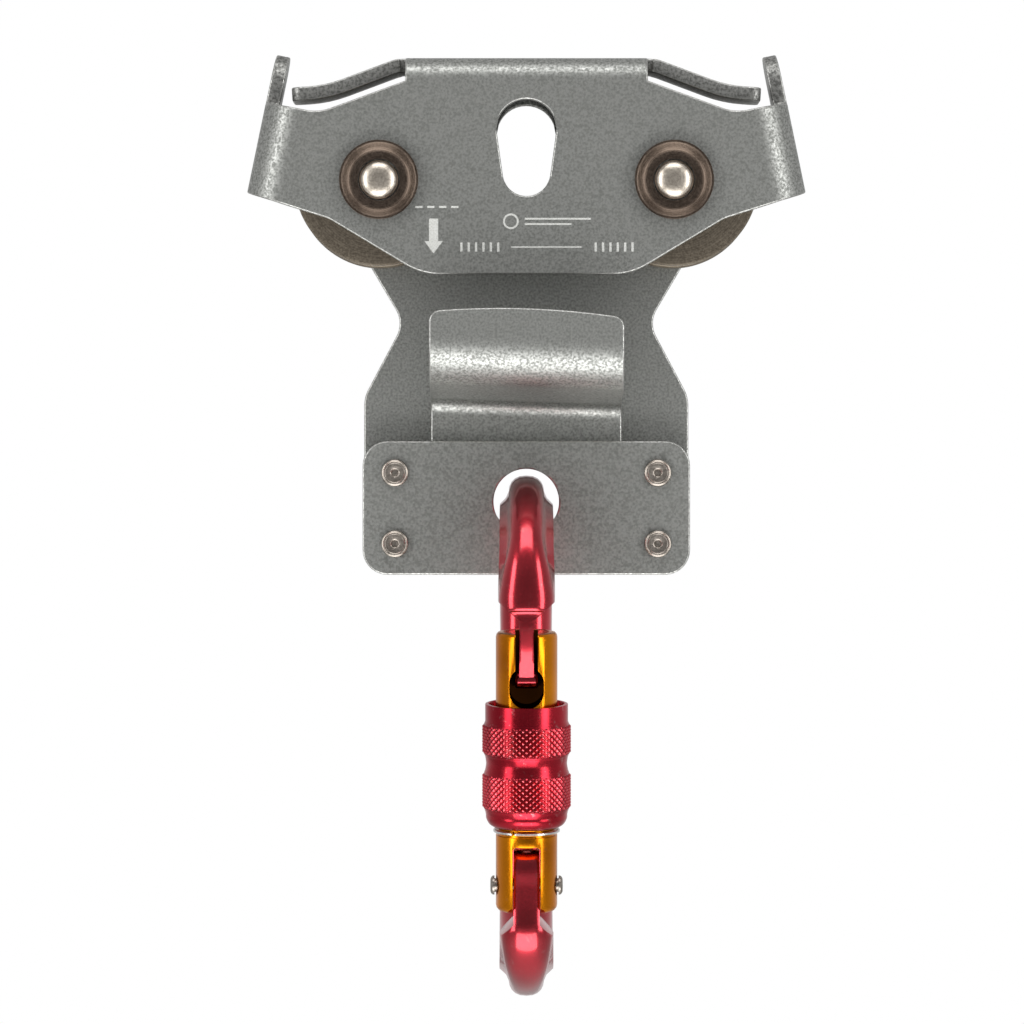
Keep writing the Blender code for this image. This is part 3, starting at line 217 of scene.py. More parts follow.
def build_rings():
    """Fine grooves round the two axles, which lie the same distance left and right of the middle."""
    group, given = new_group(
        "lathe_rings",
        (("Axle Across", FLOAT, AXLE_X), ("Axle Height", FLOAT, AXLE_Z), ("Rings per Metre", FLOAT, 3200.0)),
        (("Radius", FLOAT), ("Ring", FLOAT)))
    place = wire(group, "ShaderNodeSeparateXYZ", {0: object_place(group)}).outputs
    across = math_node(group, "SUBTRACT", math_node(group, "ABSOLUTE", place["X"]), given["Axle Across"])
    up = math_node(group, "SUBTRACT", place["Z"], given["Axle Height"])
    radius = math_node(group, "SQRT", math_node(group, "ADD", squared(group, across), squared(group, up)))
    ring = wire(group, "ShaderNodeTexNoise", {
        "W": math_node(group, "MULTIPLY", radius, given["Rings per Metre"]), "Scale": 1.0, "Detail": 2.0,
        "Roughness": 0.7}, noise_dimensions="1D").outputs["Fac"]
    wire(group, "NodeGroupOutput", {"Radius": radius, "Ring": ring})
    return group


def build_coat():
    """The slow change of depth in a dyed coat, with a little dust of lighter wear."""
    group, given = new_group(
        "dyed_coat",
        (("Deep", COLOUR, (0.2, 0.0, 0.0, 1.0)), ("Bright", COLOUR, (0.5, 0.0, 0.0, 1.0)),
         ("Wear", FLOAT, 0.1)),
        (("Color", COLOUR), ("Roughness", FLOAT), ("Height", FLOAT)))
    where = object_place(group)
    slow = wire(group, "ShaderNodeTexNoise", {"Vector": where, "Scale": 75.0, "Detail": 1.0}).outputs["Fac"]
    fine = wire(group, "ShaderNodeTexNoise", {"Vector": where, "Scale": 3600.0, "Detail": 2.0}).outputs["Fac"]
    scuff = wire(group, "ShaderNodeTexNoise", {
        "Vector": where, "Scale": 520.0, "Detail": 4.0, "Roughness": 0.7, "Distortion": 0.6}).outputs["Fac"]
    rubbed = math_node(group, "MULTIPLY", ranged(group, scuff, 0.60, 0.74), given["Wear"])
    depth = blended(group, slow, 0.8, fine)
    colour = mixed(group, ranged(group, depth, 0.3, 0.7), given["Deep"], given["Bright"])
    pale = mixed(group, rubbed, colour, (0.75, 0.62, 0.60, 1.0))
    rough = math_node(group, "ADD", 0.13, math_node(group, "MULTIPLY", fine, 0.20))
    wire(group, "NodeGroupOutput", {"Color": pale, "Roughness": rough, "Height": fine})
    return group


GRAIN = build_grain()
RINGS = build_rings()
COAT = build_coat()
print("shader groups:", GRAIN.name, RINGS.name, COAT.name)

# %% [markdown]
# ## Finishes
# Each finish is one Principled shader whose plain numbers, such as its metalness, are set on the shader, and
# whose colour, roughness and tiny relief come from the groups above. The steel sheet takes three of them: its
# tumbled face, the rim where the tumbling stones polish the edge, and the torn side that the press sheared.

# %% Steel, turned metal and anodised finishes
def new_finish(name, metallic=1.0, **plain):
    """A material with an empty Principled shader, and its tree."""
    made = bpy.data.materials.new(name)
    made.use_nodes = True
    shader = made.node_tree.nodes["Principled BSDF"]
    shader.inputs["Metallic"].default_value = metallic
    for socket, value in plain.items():
        shader.inputs[socket.replace("_", " ")].default_value = value
    return made, made.node_tree, shader


def grouped(tree, group, inputs):
    """A shader group placed in a material, with its own values."""
    node = tree.nodes.new("ShaderNodeGroup")
    node.node_tree = group
    for key, value in inputs.items():
        node.inputs[key].default_value = value
    return node.outputs


def relief(tree, shader, height, strength, distance=0.05 * MM):
    bump = wire(tree, "ShaderNodeBump", {"Height": height, "Strength": strength, "Distance": distance})
    tree.links.new(bump.outputs[0], shader.inputs["Normal"])


def rgb(*values):
    return (*values, 1.0)


def steel_sheet(name, dark, light, rough, grain, strength):
    """Tumbled steel: speckled colour, and roughness that follows the speckle."""
    made, tree, shader = new_finish(name)
    speck = grouped(tree, GRAIN, {"Dark": dark, "Light": light, "Grain": grain})
    tree.links.new(speck["Color"], shader.inputs["Base Color"])
    uneven = ranged(tree, speck["Tone"], 0.0, 1.0, rough + 0.08, rough - 0.08)
    tree.links.new(uneven, shader.inputs["Roughness"])
    relief(tree, shader, speck["Height"], strength)
    return made


def turned_metal(name, dark, light, rough, density, strength, grain=2600.0):
    """Lathe-turned metal: rings round the axle over a faint grain."""
    made, tree, shader = new_finish(name)
    lathe = grouped(tree, RINGS, {"Rings per Metre": density})
    speck = grouped(tree, GRAIN, {"Grain": grain})
    share = blended(tree, lathe["Ring"], 0.7, speck["Tone"])
    tree.links.new(mixed(tree, ranged(tree, share, 0.3, 0.7), dark, light), shader.inputs["Base Color"])
    uneven = ranged(tree, speck["Tone"], 0.0, 1.0, rough - 0.05, rough + 0.08)
    tree.links.new(uneven, shader.inputs["Roughness"])
    relief(tree, shader, lathe["Ring"], strength, 0.03 * MM)
    return made


def anodised(name, deep, bright, wear, shine, strength=0.08):
    """Dyed aluminium: a deep tint under a smooth coat."""
    made, tree, shader = new_finish(name, Coat_Weight=shine, Coat_Roughness=0.10)
    coat = grouped(tree, COAT, {"Deep": deep, "Bright": bright, "Wear": wear})
    tree.links.new(coat["Color"], shader.inputs["Base Color"])
    tree.links.new(coat["Roughness"], shader.inputs["Roughness"])
    relief(tree, shader, coat["Height"], strength, 0.02 * MM)
    return made


FACE = steel_sheet("tumbled_steel_face", rgb(0.18, 0.184, 0.172), rgb(0.48, 0.486, 0.465), 0.48, 1900.0, 0.4)
RIM = steel_sheet("tumbled_steel_rim", rgb(0.28, 0.28, 0.265), rgb(0.54, 0.54, 0.52), 0.44, 2000.0, 0.15)
SIDE = steel_sheet("sheared_steel_side", rgb(0.10, 0.10, 0.095), rgb(0.44, 0.44, 0.42), 0.50, 1500.0, 0.45)
MARK = steel_sheet("etched_mark", rgb(0.62, 0.63, 0.60), rgb(0.86, 0.86, 0.83), 0.62, 2600.0, 0.15)
RIVET = turned_metal("rivet_steel", rgb(0.24, 0.21, 0.18), rgb(0.42, 0.38, 0.34), 0.34, 5200.0, 0.10)
AXLE = turned_metal("axle_steel", rgb(0.48, 0.42, 0.35), rgb(0.68, 0.62, 0.54), 0.32, 4200.0, 0.10)
BRONZE = turned_metal("bronzed_steel", rgb(0.065, 0.048, 0.036), rgb(0.15, 0.115, 0.092), 0.36, 5200.0, 0.25)
SHEAVE = turned_metal("sheave_alloy", rgb(0.15, 0.125, 0.095), rgb(0.24, 0.205, 0.16), 0.40, 2600.0, 0.20)
BEARING = turned_metal("bearing_steel", rgb(0.55, 0.55, 0.56), rgb(0.75, 0.75, 0.76), 0.20, 3000.0, 0.06)
SPRING = steel_sheet("spring_steel", rgb(0.55, 0.55, 0.54), rgb(0.85, 0.85, 0.84), 0.28, 2600.0, 0.08)
RED = anodised("red_anodised", rgb(0.32, 0.012, 0.022), rgb(0.60, 0.032, 0.050), 0.10, 0.70)
SATIN_RED = anodised("satin_red", rgb(0.30, 0.012, 0.022), rgb(0.52, 0.026, 0.042), 0.30, 0.0)
GOLD = anodised("gold_anodised", rgb(0.46, 0.130, 0.002), rgb(0.84, 0.285, 0.004), 0.04, 0.08)
# Painted shade: a darker gold that stands in for the shade inside the gate's milled mouth and window.
PAINTED_SHADE_POCKET = anodised("painted_shade_pocket", rgb(0.05, 0.016, 0.003), rgb(0.12, 0.035, 0.005), 0.04, 0.0)
print("finishes:", len(bpy.data.materials))

# %% [markdown]
# ## A sheet with soft rims, cut flat and then folded
# The frame, the keeper and the plate start as flat blanks, punched and tumbled. Rows of points round each
# outline give such a blank its round rims and sides, a triangulation fills its faces, and the normals of the
# flat blank tell the three apart, so each gets its own finish. The blank is creased along many fine lines and
# its points are moved along the bent strip, as a press brake would move them.

# %% Outline, blank and fold
SHEET = 3.0 * MM
RIM_R = 0.32 * MM
BEND_STEPS = 14
HOLD = 0.4 * MM
CLOSEST = 0.05 * MM
SHARP_FROM = math.radians(38.0)
FACE_SLOT, RIM_SLOT, SIDE_SLOT = range(3)


def own(name, mesh, body, slot, *nodes):
    """Puts a finished mesh on its body, in place of these nodes of the frame."""
    mesh.name = name
    made = bpy.data.objects.new(name, mesh)
    scene.collection.objects.link(made)
    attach(made, body)
    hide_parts(*nodes)
    print(name, "on", body + ":", sum(len(face.vertices) - 2 for face in mesh.polygons), "triangles")
    return made


def meshed(holder):
    """The evaluated object as a plain mesh. The object is removed."""
    scene.collection.objects.link(holder)
    graph = bpy.context.evaluated_depsgraph_get()
    mesh = bpy.data.meshes.new_from_object(holder.evaluated_get(graph))
    bpy.data.objects.remove(holder)
    return mesh


def circle(x, z, radius, steps=48):
    turn = 2 * math.pi / steps
    return [(x + radius * math.cos(i * turn), z + radius * math.sin(i * turn)) for i in range(steps)]


def rounded(corners, steps=9):
    """A closed outline from (x, z, radius) corners, each corner turned into an arc of its radius."""
    points = []
    for i, (x, z, radius) in enumerate(corners):
        here = Vector((x, z))
        back = (Vector(corners[i - 1][:2]) - here).normalized()
        ahead = (Vector(corners[(i + 1) % len(corners)][:2]) - here).normalized()
        half = back.angle(ahead) / 2
        if radius == 0.0 or half > math.radians(89.5):
            points.append((x, z))
            continue
        middle = here + (back + ahead).normalized() * radius / math.sin(half)
        start = here + back * radius / math.tan(half) - middle
        sweep = start.angle_signed(here + ahead * radius / math.tan(half) - middle)
        for step in range(steps + 1):
            spoke = start.copy()
            spoke.rotate(Matrix.Rotation(-sweep * step / steps, 2))
            points.append(tuple(middle + spoke))
    return points


def tapered_slot(top, low, place, steps=20):
    """A slot with a wider round top and a narrower round foot. place gives the height on the blank."""
    lean = math.asin((top[1] - low[1]) / (top[0] - low[0]))
    points = []
    for centre, radius, start in ((top[0], top[1], -lean), (low[0], low[1], math.pi + lean)):
        sweep = math.pi + 2 * lean if start < 0 else math.pi - 2 * lean
        for step in range(steps + 1):
            angle = start + sweep * step / steps
            points.append((radius * math.cos(angle), place(centre + radius * math.sin(angle))))
    return points


def inset(loop, amount):
    """The loop moved into the material, which lies on the left of its direction."""
    moved = []
    for i, point in enumerate(loop):
        here = Vector(point)
        back = (here - Vector(loop[i - 1])).normalized()
        ahead = (Vector(loop[(i + 1) % len(loop)]) - here).normalized()
        left = Vector((-(back + ahead).y, (back + ahead).x)).normalized()
        moved.append(here + left * amount / max(left.dot(Vector((-ahead.y, ahead.x))), 0.3))
    return moved


def turned_left(loop, left):
    """The loop without doubled points, running anticlockwise if left is true."""
    clean = [p for i, p in enumerate(loop) if (Vector(p) - Vector(loop[i - 1])).length > CLOSEST]
    area = sum(a[0] * b[1] - b[0] * a[1] for a, b in zip(clean, clean[1:] + clean[:1]))
    return clean if (area > 0) == left else clean[::-1]


def inside(point, loop):
    """Whether a point lies inside a closed loop, by counting the sides to its right."""
    crossings = 0
    for (ax, ay), (bx, by) in zip(loop, loop[1:] + loop[:1]):
        if (ay > point.y) != (by > point.y):
            crossings += point.x < ax + (bx - ax) * (point.y - ay) / (by - ay)
    return crossings % 2 == 1


def plate(loops, thickness=SHEET, rim=RIM_R, rim_steps=3):
    """A flat plate about z = 0 with round rims: the first loop is its outline and the others are holes."""
    half = thickness / 2
    quarter = [math.pi / 2 * i / rim_steps for i in range(rim_steps + 1)] if rim else [0.0]
    top = [(rim - rim * math.sin(a), half - rim + rim * math.cos(a)) for a in quarter]
    rows = top + [(amount, -z) for amount, z in reversed(top)]
    loops = [turned_left(loop, i == 0) for i, loop in enumerate(loops)]
    bm = bmesh.new()
    rims = []
    for loop in loops:
        rings = [[bm.verts.new((*p, z)) for p in inset(loop, amount)] for amount, z in rows]
        for upper, lower in zip(rings, rings[1:]):
            for i in range(len(loop)):
                j = (i + 1) % len(loop)
                bm.faces.new((upper[i], lower[i], lower[j], upper[j]))
        rims.append((rings[0], rings[-1]))
    ends = [vert for first, _ in rims for vert in first]
    others = [vert for _, last in rims for vert in last]
    edges = []
    for first, _ in rims:
        start = len(edges)
        edges += [(start + i, start + (i + 1) % len(first)) for i in range(len(first))]
    found = delaunay_2d_cdt([vert.co.xy for vert in ends], edges, [], 1, 1e-9)
    for triangle in found[2]:
        corners = [found[3][i][0] for i in triangle]
        middle = sum((ends[i].co.xy for i in corners), Vector((0.0, 0.0))) / 3
        if any(inside(middle, hole) for hole in loops[1:]):
            continue
        bm.faces.new([ends[i] for i in corners])
        bm.faces.new([others[i] for i in reversed(corners)])
    mesh = bpy.data.meshes.new("plate")
    bm.to_mesh(mesh)
    bm.free()
    return mesh


def along(path, heading, length, offset):
    """The point at this length along a bent strip, offset to the left of its middle line."""
    across = 0.0
    up = 0.0
    for run, turn in path:
        step = length if (run, turn) == path[-1] else min(length, run)
        if turn:
            radius = run / turn
            after = heading + step / radius
            across += radius * (math.sin(after) - math.sin(heading))
            up -= radius * (math.cos(after) - math.cos(heading))
            heading = after
        else:
            across += step * math.cos(heading)
            up += step * math.sin(heading)
        length -= step
        if length <= 0.0:
            break
    return across - offset * math.sin(heading), up + offset * math.cos(heading)


def bend_stations(path):
    """Where the strip is creased: finely inside each bend, and once just outside each of its ends."""
    stations = []
    start = 0.0
    for run, turn in path:
        if turn:
            count = max(4, round(BEND_STEPS * abs(turn) / (math.pi / 2)))
            stations += [start - HOLD, start + run + HOLD]
            stations += [start + run * i / count for i in range(count + 1)]
        start += run
    return stations


def crease(bm, point, normal, zone):
    """Cuts the faces of one zone along a line, so that they can bend there."""
    faces = [face for face in bm.faces if zone(face.calc_center_median())]
    edges = {edge for face in faces for edge in face.edges}
    verts = {vert for face in faces for vert in face.verts}
    bmesh.ops.bisect_plane(
        bm, geom=[*faces, *edges, *verts], dist=1e-7, plane_co=point, plane_no=normal)


def fold(mesh, creases, bend):
    """Finishes a flat blank: sorts its faces by their slant, creases it and moves its points by bend."""
    bm = bmesh.new()
    bm.from_mesh(mesh)
    for face in bm.faces:
        slant = abs(face.normal.z)
        face.material_index = FACE_SLOT if slant > 0.995 else SIDE_SLOT if slant < 0.05 else RIM_SLOT
    for point, normal, zone in creases:
        crease(bm, point, normal, zone)
    bmesh.ops.triangulate(bm, faces=[face for face in bm.faces if len(face.verts) > 4])
    for vert in bm.verts:
        vert.co = bend(*vert.co)
    bm.normal_update()
    for face in bm.faces:
        face.smooth = True
    for edge in bm.edges:
        kinds = {face.material_index for face in edge.link_faces}
        on_face_rim = len(kinds) > 1 and FACE_SLOT in kinds
        edge.smooth = edge.calc_face_angle(0.0) < SHARP_FROM and not on_face_rim
    bm.to_mesh(mesh)
    bm.free()
    for finish in (FACE, RIM, SIDE):
        mesh.materials.append(finish)
    return mesh


def upright_at(y):
    """The bend of a plate that stays flat: it stands up in XZ with its middle at this y."""
    return lambda x, z, offset: Vector((x, y - offset, z))


# %% [markdown]
# ## The saddle frame
# One blank makes the front wall, the roof, the back wall with its neck, the two sloping wings beside the
# roof and the two ears that wrap round the ends of the wheels, each with a little horn. The outline is given
# for the right half and mirrored, and each ear and wing has its own bent strip.

# %% Saddle frame
INNER_GAP = 20.0 * MM
ROOF_BEND_OUTER = 5.0 * MM
FRAME_TOP = 45.8 * MM
FOLD_HALF = 26.4 * MM
FRONT_BOTTOM = -1.5 * MM
SLIT_WIDTH = 1.0 * MM
SLIT_DEPTH = 1.3 * MM
SLOT_TOP = (30.1 * MM, 6.5 * MM)
SLOT_LOW = (20.7 * MM, 5.2 * MM)
WING_SLOPE = math.radians(20.5)
WING_LEVEL = math.radians(17.0)
WING_KNEE = 8.0 * MM
WING_RUN = 11.2 * MM
WING_SWEEP = 28.0 * MM
WING_TIP = 3.4 * MM
WING_PATH = (
    (WING_KNEE * WING_SLOPE, -WING_SLOPE), (WING_RUN, 0.0),
    (WING_SWEEP * WING_LEVEL, WING_LEVEL), (WING_TIP, 0.0))
EAR_LEAN = math.radians(11.7)
EAR_SILHOUETTE = (60.9 * MM, 17.3 * MM)
EAR_BEND_OUTER = 8.0 * MM
EAR_TOP = 19.2 * MM
EAR_LOW_END = 0.6 * MM
HORN_WIDTH = 12.0 * MM
HORN_TOP = 30.5 * MM
HORN_SETBACK = 0.7 * MM
BACK_END = 50.5 * MM
LOWER_HALF = 35.8 * MM
LOWER_BOTTOM = -67.0 * MM
PLATE_CORNER = 5.5 * MM
RIVET_X = 28.9 * MM
RIVET_ROWS = (-44.6 * MM, -60.2 * MM)
EYE_Z = -50.9 * MM
EYE_R = 7.25 * MM

FRONT_MID = -(INNER_GAP + SHEET) / 2
BEND_NEUTRAL = ROOF_BEND_OUTER - SHEET / 2
BEND_START_Z = FRAME_TOP - ROOF_BEND_OUTER
BEND_LENGTH = BEND_NEUTRAL * math.pi / 2
ROOF_DEPTH = INNER_GAP + 2 * SHEET - 2 * ROOF_BEND_OUTER
SADDLE_PATH = (
    (BEND_START_Z - FRONT_BOTTOM, 0.0),
    (BEND_LENGTH, -math.pi / 2),
    (ROOF_DEPTH, 0.0),
    (BEND_LENGTH, -math.pi / 2),
    (BEND_START_Z - LOWER_BOTTOM, 0.0),
)
EAR_BEND = (EAR_BEND_OUTER - SHEET / 2) * math.pi / 2
EAR_PATH = ((EAR_BEND, -math.pi / 2), (HORN_WIDTH + HORN_SETBACK, 0.0))
EAR_UP = Vector((-math.sin(EAR_LEAN), math.cos(EAR_LEAN)))
EAR_ACROSS = Vector((math.cos(EAR_LEAN), math.sin(EAR_LEAN)))
EAR_START = Vector(EAR_SILHOUETTE) - EAR_ACROSS * EAR_BEND_OUTER
ROOF_FRONT = BEND_START_Z + BEND_LENGTH
ROOF_BACK = ROOF_FRONT + ROOF_DEPTH


def ear_point(distance, height):
    return tuple(EAR_START + EAR_ACROSS * distance + EAR_UP * height)


def back_height(z):
    """Where a height of the back wall lies on the flat blank, which runs up the front and down the back."""
    return ROOF_BACK + BEND_LENGTH + BEND_START_Z - z


def saddle_outline():
    wing_end = FOLD_HALF + sum(run for run, _ in WING_PATH)
    bend_end = EAR_BEND + HORN_SETBACK
    wall_end = bend_end + HORN_WIDTH
    horn_r = HORN_WIDTH / 2 - 0.01 * MM
    slit_out = FOLD_HALF + SLIT_WIDTH
    half = [
        (22.8 * MM, FRONT_BOTTOM, 15.0 * MM),
        (43.0 * MM, 10.6 * MM, 8.0 * MM),
        (*ear_point(wall_end, EAR_LOW_END), 3.0 * MM),
        (*ear_point(wall_end, HORN_TOP), horn_r),
        (*ear_point(bend_end, HORN_TOP), horn_r),
        (*ear_point(bend_end, EAR_TOP), 0.8 * MM),
        (45.3 * MM, 33.7 * MM, 10.0 * MM),
        (FOLD_HALF, BEND_START_Z - 0.2 * MM, 0.0),
        (FOLD_HALF, ROOF_FRONT + SLIT_DEPTH, 0.0),
        (slit_out, ROOF_FRONT + SLIT_DEPTH, 0.0),
        (slit_out, ROOF_FRONT, 0.5 * MM),
        (wing_end, ROOF_FRONT, 2.0 * MM),
        (wing_end, ROOF_BACK, 2.0 * MM),
        (slit_out, ROOF_BACK, 0.5 * MM),
        (slit_out, ROOF_BACK - SLIT_DEPTH, 0.0),
        (FOLD_HALF, ROOF_BACK - SLIT_DEPTH, 0.0),
        (FOLD_HALF, back_height(BEND_START_Z - 0.2 * MM), 0.0),
        (45.3 * MM, back_height(33.7 * MM), 10.0 * MM),
        (BACK_END, back_height(34.8 * MM), 2.0 * MM),
        (BACK_END, back_height(12.7 * MM), 3.0 * MM),
        (43.0 * MM, back_height(10.6 * MM), 8.0 * MM),
        (38.5 * MM, back_height(7.9 * MM), 5.0 * MM),
        (27.1 * MM, back_height(-11.4 * MM), 6.0 * MM),
        (LOWER_HALF, back_height(-27.8 * MM), 8.0 * MM),
        (LOWER_HALF, back_height(LOWER_BOTTOM), PLATE_CORNER),
    ]
    return half + [(-x, z, radius) for x, z, radius in reversed(half)]


def saddle_bend(x, height, offset):
    """Where a point of the flat blank lies once the frame is folded."""
    side = math.copysign(1.0, x)
    from_fold = (Vector((abs(x), height)) - EAR_START).dot(EAR_ACROSS)
    on_horn = from_fold > EAR_BEND and height < ROOF_BACK
    if on_horn or (from_fold > 0.0 and height < BEND_START_Z):
        rise = (Vector((abs(x), height)) - EAR_START).dot(EAR_UP)
        out, forward = along(EAR_PATH, 0.0, from_fold, offset)
        place = EAR_START + EAR_UP * rise + EAR_ACROSS * out
        return Vector((side * place.x, FRONT_MID - forward, place.y))
    y, z = along(SADDLE_PATH, math.pi / 2, height - FRONT_BOTTOM, offset)
    past_roof = abs(x) - FOLD_HALF
    wing_low = BEND_START_Z + BEND_LENGTH / 2
    if past_roof > 0.0 and wing_low < height < back_height(BEND_START_Z) - BEND_LENGTH / 2:
        out, drop = along(WING_PATH, 0.0, past_roof, offset)
        return Vector((side * (FOLD_HALF + out), FRONT_MID + y, FRAME_TOP - SHEET / 2 + drop))
    return Vector((x, FRONT_MID + y, z + FRONT_BOTTOM))


def saddle_creases():
    creases = [((0.0, FRONT_BOTTOM + length, 0.0), (0.0, 1.0, 0.0), lambda c: True)
               for length in bend_stations(SADDLE_PATH)]
    low = BEND_START_Z + BEND_LENGTH / 2
    high = back_height(BEND_START_Z) - BEND_LENGTH / 2
    for side in (-1.0, 1.0):
        for length in bend_stations(WING_PATH):
            place = (side * (FOLD_HALF + max(length, 0.0)), 0.0, 0.0)
            creases.append((place, (1.0, 0.0, 0.0), lambda c: low < c.y < high))
        for length in bend_stations(EAR_PATH):
            place = EAR_START + EAR_ACROSS * length
            line = ((side * place.x, place.y, 0.0), (side * EAR_ACROSS.x, EAR_ACROSS.y, 0.0))
            creases.append((*line, lambda c: c.y < BEND_START_Z))
    return creases


def rivet_holes(place):
    return [circle(side * RIVET_X, place(row), 2.3 * MM) for side in (-1.0, 1.0) for row in RIVET_ROWS]


saddle_holes = [tapered_slot(SLOT_TOP, SLOT_LOW, lambda z: z), tapered_slot(SLOT_TOP, SLOT_LOW, back_height)]
saddle_holes += [circle(side * AXLE_X, height, 4.3 * MM) for side in (-1.0, 1.0)
                 for height in (AXLE_Z, back_height(AXLE_Z))]
saddle_holes += [*rivet_holes(back_height), circle(0.0, back_height(EYE_Z), EYE_R, 64)]
saddle = fold(plate([rounded(saddle_outline()), *saddle_holes]), saddle_creases(), saddle_bend)
own("saddle_frame_sheet", saddle, "frame", "tumbled_steel", "saddle_frame")

# %% [markdown]
# ## Cable keeper and connection plate
# The keeper is a wide flat base with a narrower tongue that bends forward to a shelf and up to a lip, so that
# the cable can be threaded in but can't jump out. Its bends run a little askew, as on a part bent by hand in
# a jig. The connection plate is flat and carries the load of the carabiner.

# %% Keeper and connection plate
GAP = 0.3 * MM
PACK_MID = INNER_GAP / 2 - GAP - SHEET / 2
CONNECTION_MID = PACK_MID - GAP - SHEET
KEEPER_HALF = 21.0 * MM
KEEPER_BASE_HALF = 33.0 * MM
KEEPER_BASE_TOP = 24.0 * MM
KEEPER_BOTTOM = -64.0 * MM
KEEPER_ARCH = 1.3 * MM
KEEPER_SKEW = math.tan(math.radians(1.9))
KEEPER_TURN = math.radians(84.0)
KEEPER_PATH = (
    (31.6 * MM, 0.0),
    (5.0 * MM * KEEPER_TURN, -KEEPER_TURN),
    (24.75 * MM, 0.0),
    (8.5 * MM * KEEPER_TURN, KEEPER_TURN),
    (7.0 * MM, 0.0),
)


def keeper_outline():
    top = sum(run for run, _ in KEEPER_PATH)
    corners = [
        (KEEPER_BASE_HALF, 0.0, 3.0 * MM),
        (KEEPER_BASE_HALF, KEEPER_BASE_TOP, 3.0 * MM),
        (KEEPER_HALF, KEEPER_BASE_TOP, 1.5 * MM),
    ]
    mirrored = [(-x, z, radius) for x, z, radius in reversed(corners)]
    for i in range(8, -9, -1):
        x = KEEPER_HALF * i / 8
        height = top - x * KEEPER_SKEW - KEEPER_ARCH * (i / 8) ** 2
        corners.append((x, height, 2.4 * MM if abs(i) == 8 else 0.0))
    return corners + mirrored


def keeper_bend(x, height, offset):
    askew = x * KEEPER_SKEW
    forward, z = along(KEEPER_PATH, math.pi / 2, height + askew, -offset)
    return Vector((x, PACK_MID - forward, KEEPER_BOTTOM + z - askew))


keeper_holes = [circle(0.0, EYE_Z - KEEPER_BOTTOM, EYE_R, 64), *rivet_holes(lambda z: z - KEEPER_BOTTOM)]
keeper_creases = [
    ((0.0, length, 0.0), (KEEPER_SKEW, 1.0, 0.0), lambda c: True) for length in bend_stations(KEEPER_PATH)]
keeper = fold(plate([rounded(keeper_outline()), *keeper_holes]), keeper_creases, keeper_bend)
own("cable_keeper_sheet", keeper, "frame", "tumbled_steel", "cable_keeper")

plate_corners = [(x * 36.0 * MM, z, PLATE_CORNER)
                 for x, z in ((-1, LOWER_BOTTOM), (1, LOWER_BOTTOM), (1, -37.6 * MM), (-1, -37.6 * MM))]
plate_blank = plate([rounded(plate_corners), circle(0.0, EYE_Z, EYE_R, 64), *rivet_holes(lambda z: z)])
own("connection_plate_sheet", fold(plate_blank, [], upright_at(CONNECTION_MID)), "frame", "tumbled_steel",
    "connection_plate")

# %% [markdown]
# ## Etched marks
# A laser leaves pale shallow marks on the front wall: an arrow that shows which way the load pulls. The
# rating and the words beside it are replaced by plain signs that say nothing: short bars, and a round cable
# between two stops. They are thin plates a few hundredths of a millimetre proud of the wall.

# %% Load arrow and plain signs
MARK_THICK = 0.06 * MM
FRONT_FACE = FRONT_MID - SHEET / 2


def in_mm(*rows):
    """Rows of numbers given in millimetres, as metres."""
    return [tuple(value * MM for value in row) for row in rows]


def bar(left, right, low, high):
    return in_mm((left, low), (right, low), (right, high), (left, high))


arrow = in_mm(
    (-20.2, 3.0), (-18.2, 5.7), (-19.2, 5.7), (-19.2, 10.6), (-21.2, 10.6), (-21.2, 5.7), (-22.2, 5.7))
marks = [arrow]
marks += [bar(-24.2 + 2.6 * i, -22.6 + 2.6 * i, 12.9, 13.35) for i in range(4)]
marks += [bar(-14.4 + 1.6 * i, -13.9 + 1.6 * i, 3.4, 5.4) for i in range(6)]
marks += [bar(14.8 + 1.6 * i, 15.3 + 1.6 * i, 3.4, 5.4) for i in range(6)]
marks += [bar(-3.3, 12.0, 4.25, 4.55)]
sign_mesh = bpy.data.meshes.new("marks")
bm = bmesh.new()
ring = [circle(-3.4 * MM, 10.0 * MM, radius) for radius in (1.7 * MM, 1.3 * MM)]
for loop in [[loop] for loop in marks] + [ring, [bar(-0.4, 14.0, 10.35, 10.75)], [bar(-0.4, 9.8, 9.2, 9.6)]]:
    bm.from_mesh(plate(loop, MARK_THICK, 0.0))
bm.to_mesh(sign_mesh)
bm.free()
for vert in sign_mesh.vertices:
    vert.co = (vert.co.x, FRONT_FACE - vert.co.z, vert.co.y)
sign_mesh.materials.append(MARK)
own("etched_marks", sign_mesh, "frame", "tumbled_steel")

# %% [markdown]
# ## Turned pieces
# Rivets, axles, washers and wheels are all round, so each is a profile turned about its axle. The profile
# lists a radius and a place along the axle from the front of the object to its back, where minus Y is the
# front. Where a piece comes twice or four times, Geometry Nodes set copies of it out on a small grid.

# %% Turning and setting out
def turned(profile, steps, closed=False):
    """A solid turned about Y. The profile lists (radius, y), and a closed one makes a ring."""
    bm = bmesh.new()
    rings = []
    for radius, y in profile:
        if radius < 1e-9:
            rings.append([bm.verts.new((0.0, y, 0.0))])
            continue
        turn = 2 * math.pi / steps
        spots = [(radius * math.cos(i * turn), y, radius * math.sin(i * turn)) for i in range(steps)]
        rings.append([bm.verts.new(spot) for spot in spots])
    pairs = list(zip(rings, rings[1:] + rings[:1])) if closed else list(zip(rings, rings[1:]))
    for near, far in pairs:
        for i in range(steps):
            j = (i + 1) % steps
            corners = [near[i % len(near)], near[j % len(near)], far[j % len(far)], far[i % len(far)]]
            bm.faces.new(list(dict.fromkeys(corners)))
    bmesh.ops.recalc_face_normals(bm, faces=bm.faces)
    mesh = bpy.data.meshes.new("turned")
    bm.to_mesh(mesh)
    bm.free()
    return shaded(mesh)


def shaded(mesh, angle=32.0):
    mesh.shade_smooth()
    mesh.set_sharp_from_angle(angle=math.radians(angle))
    return mesh


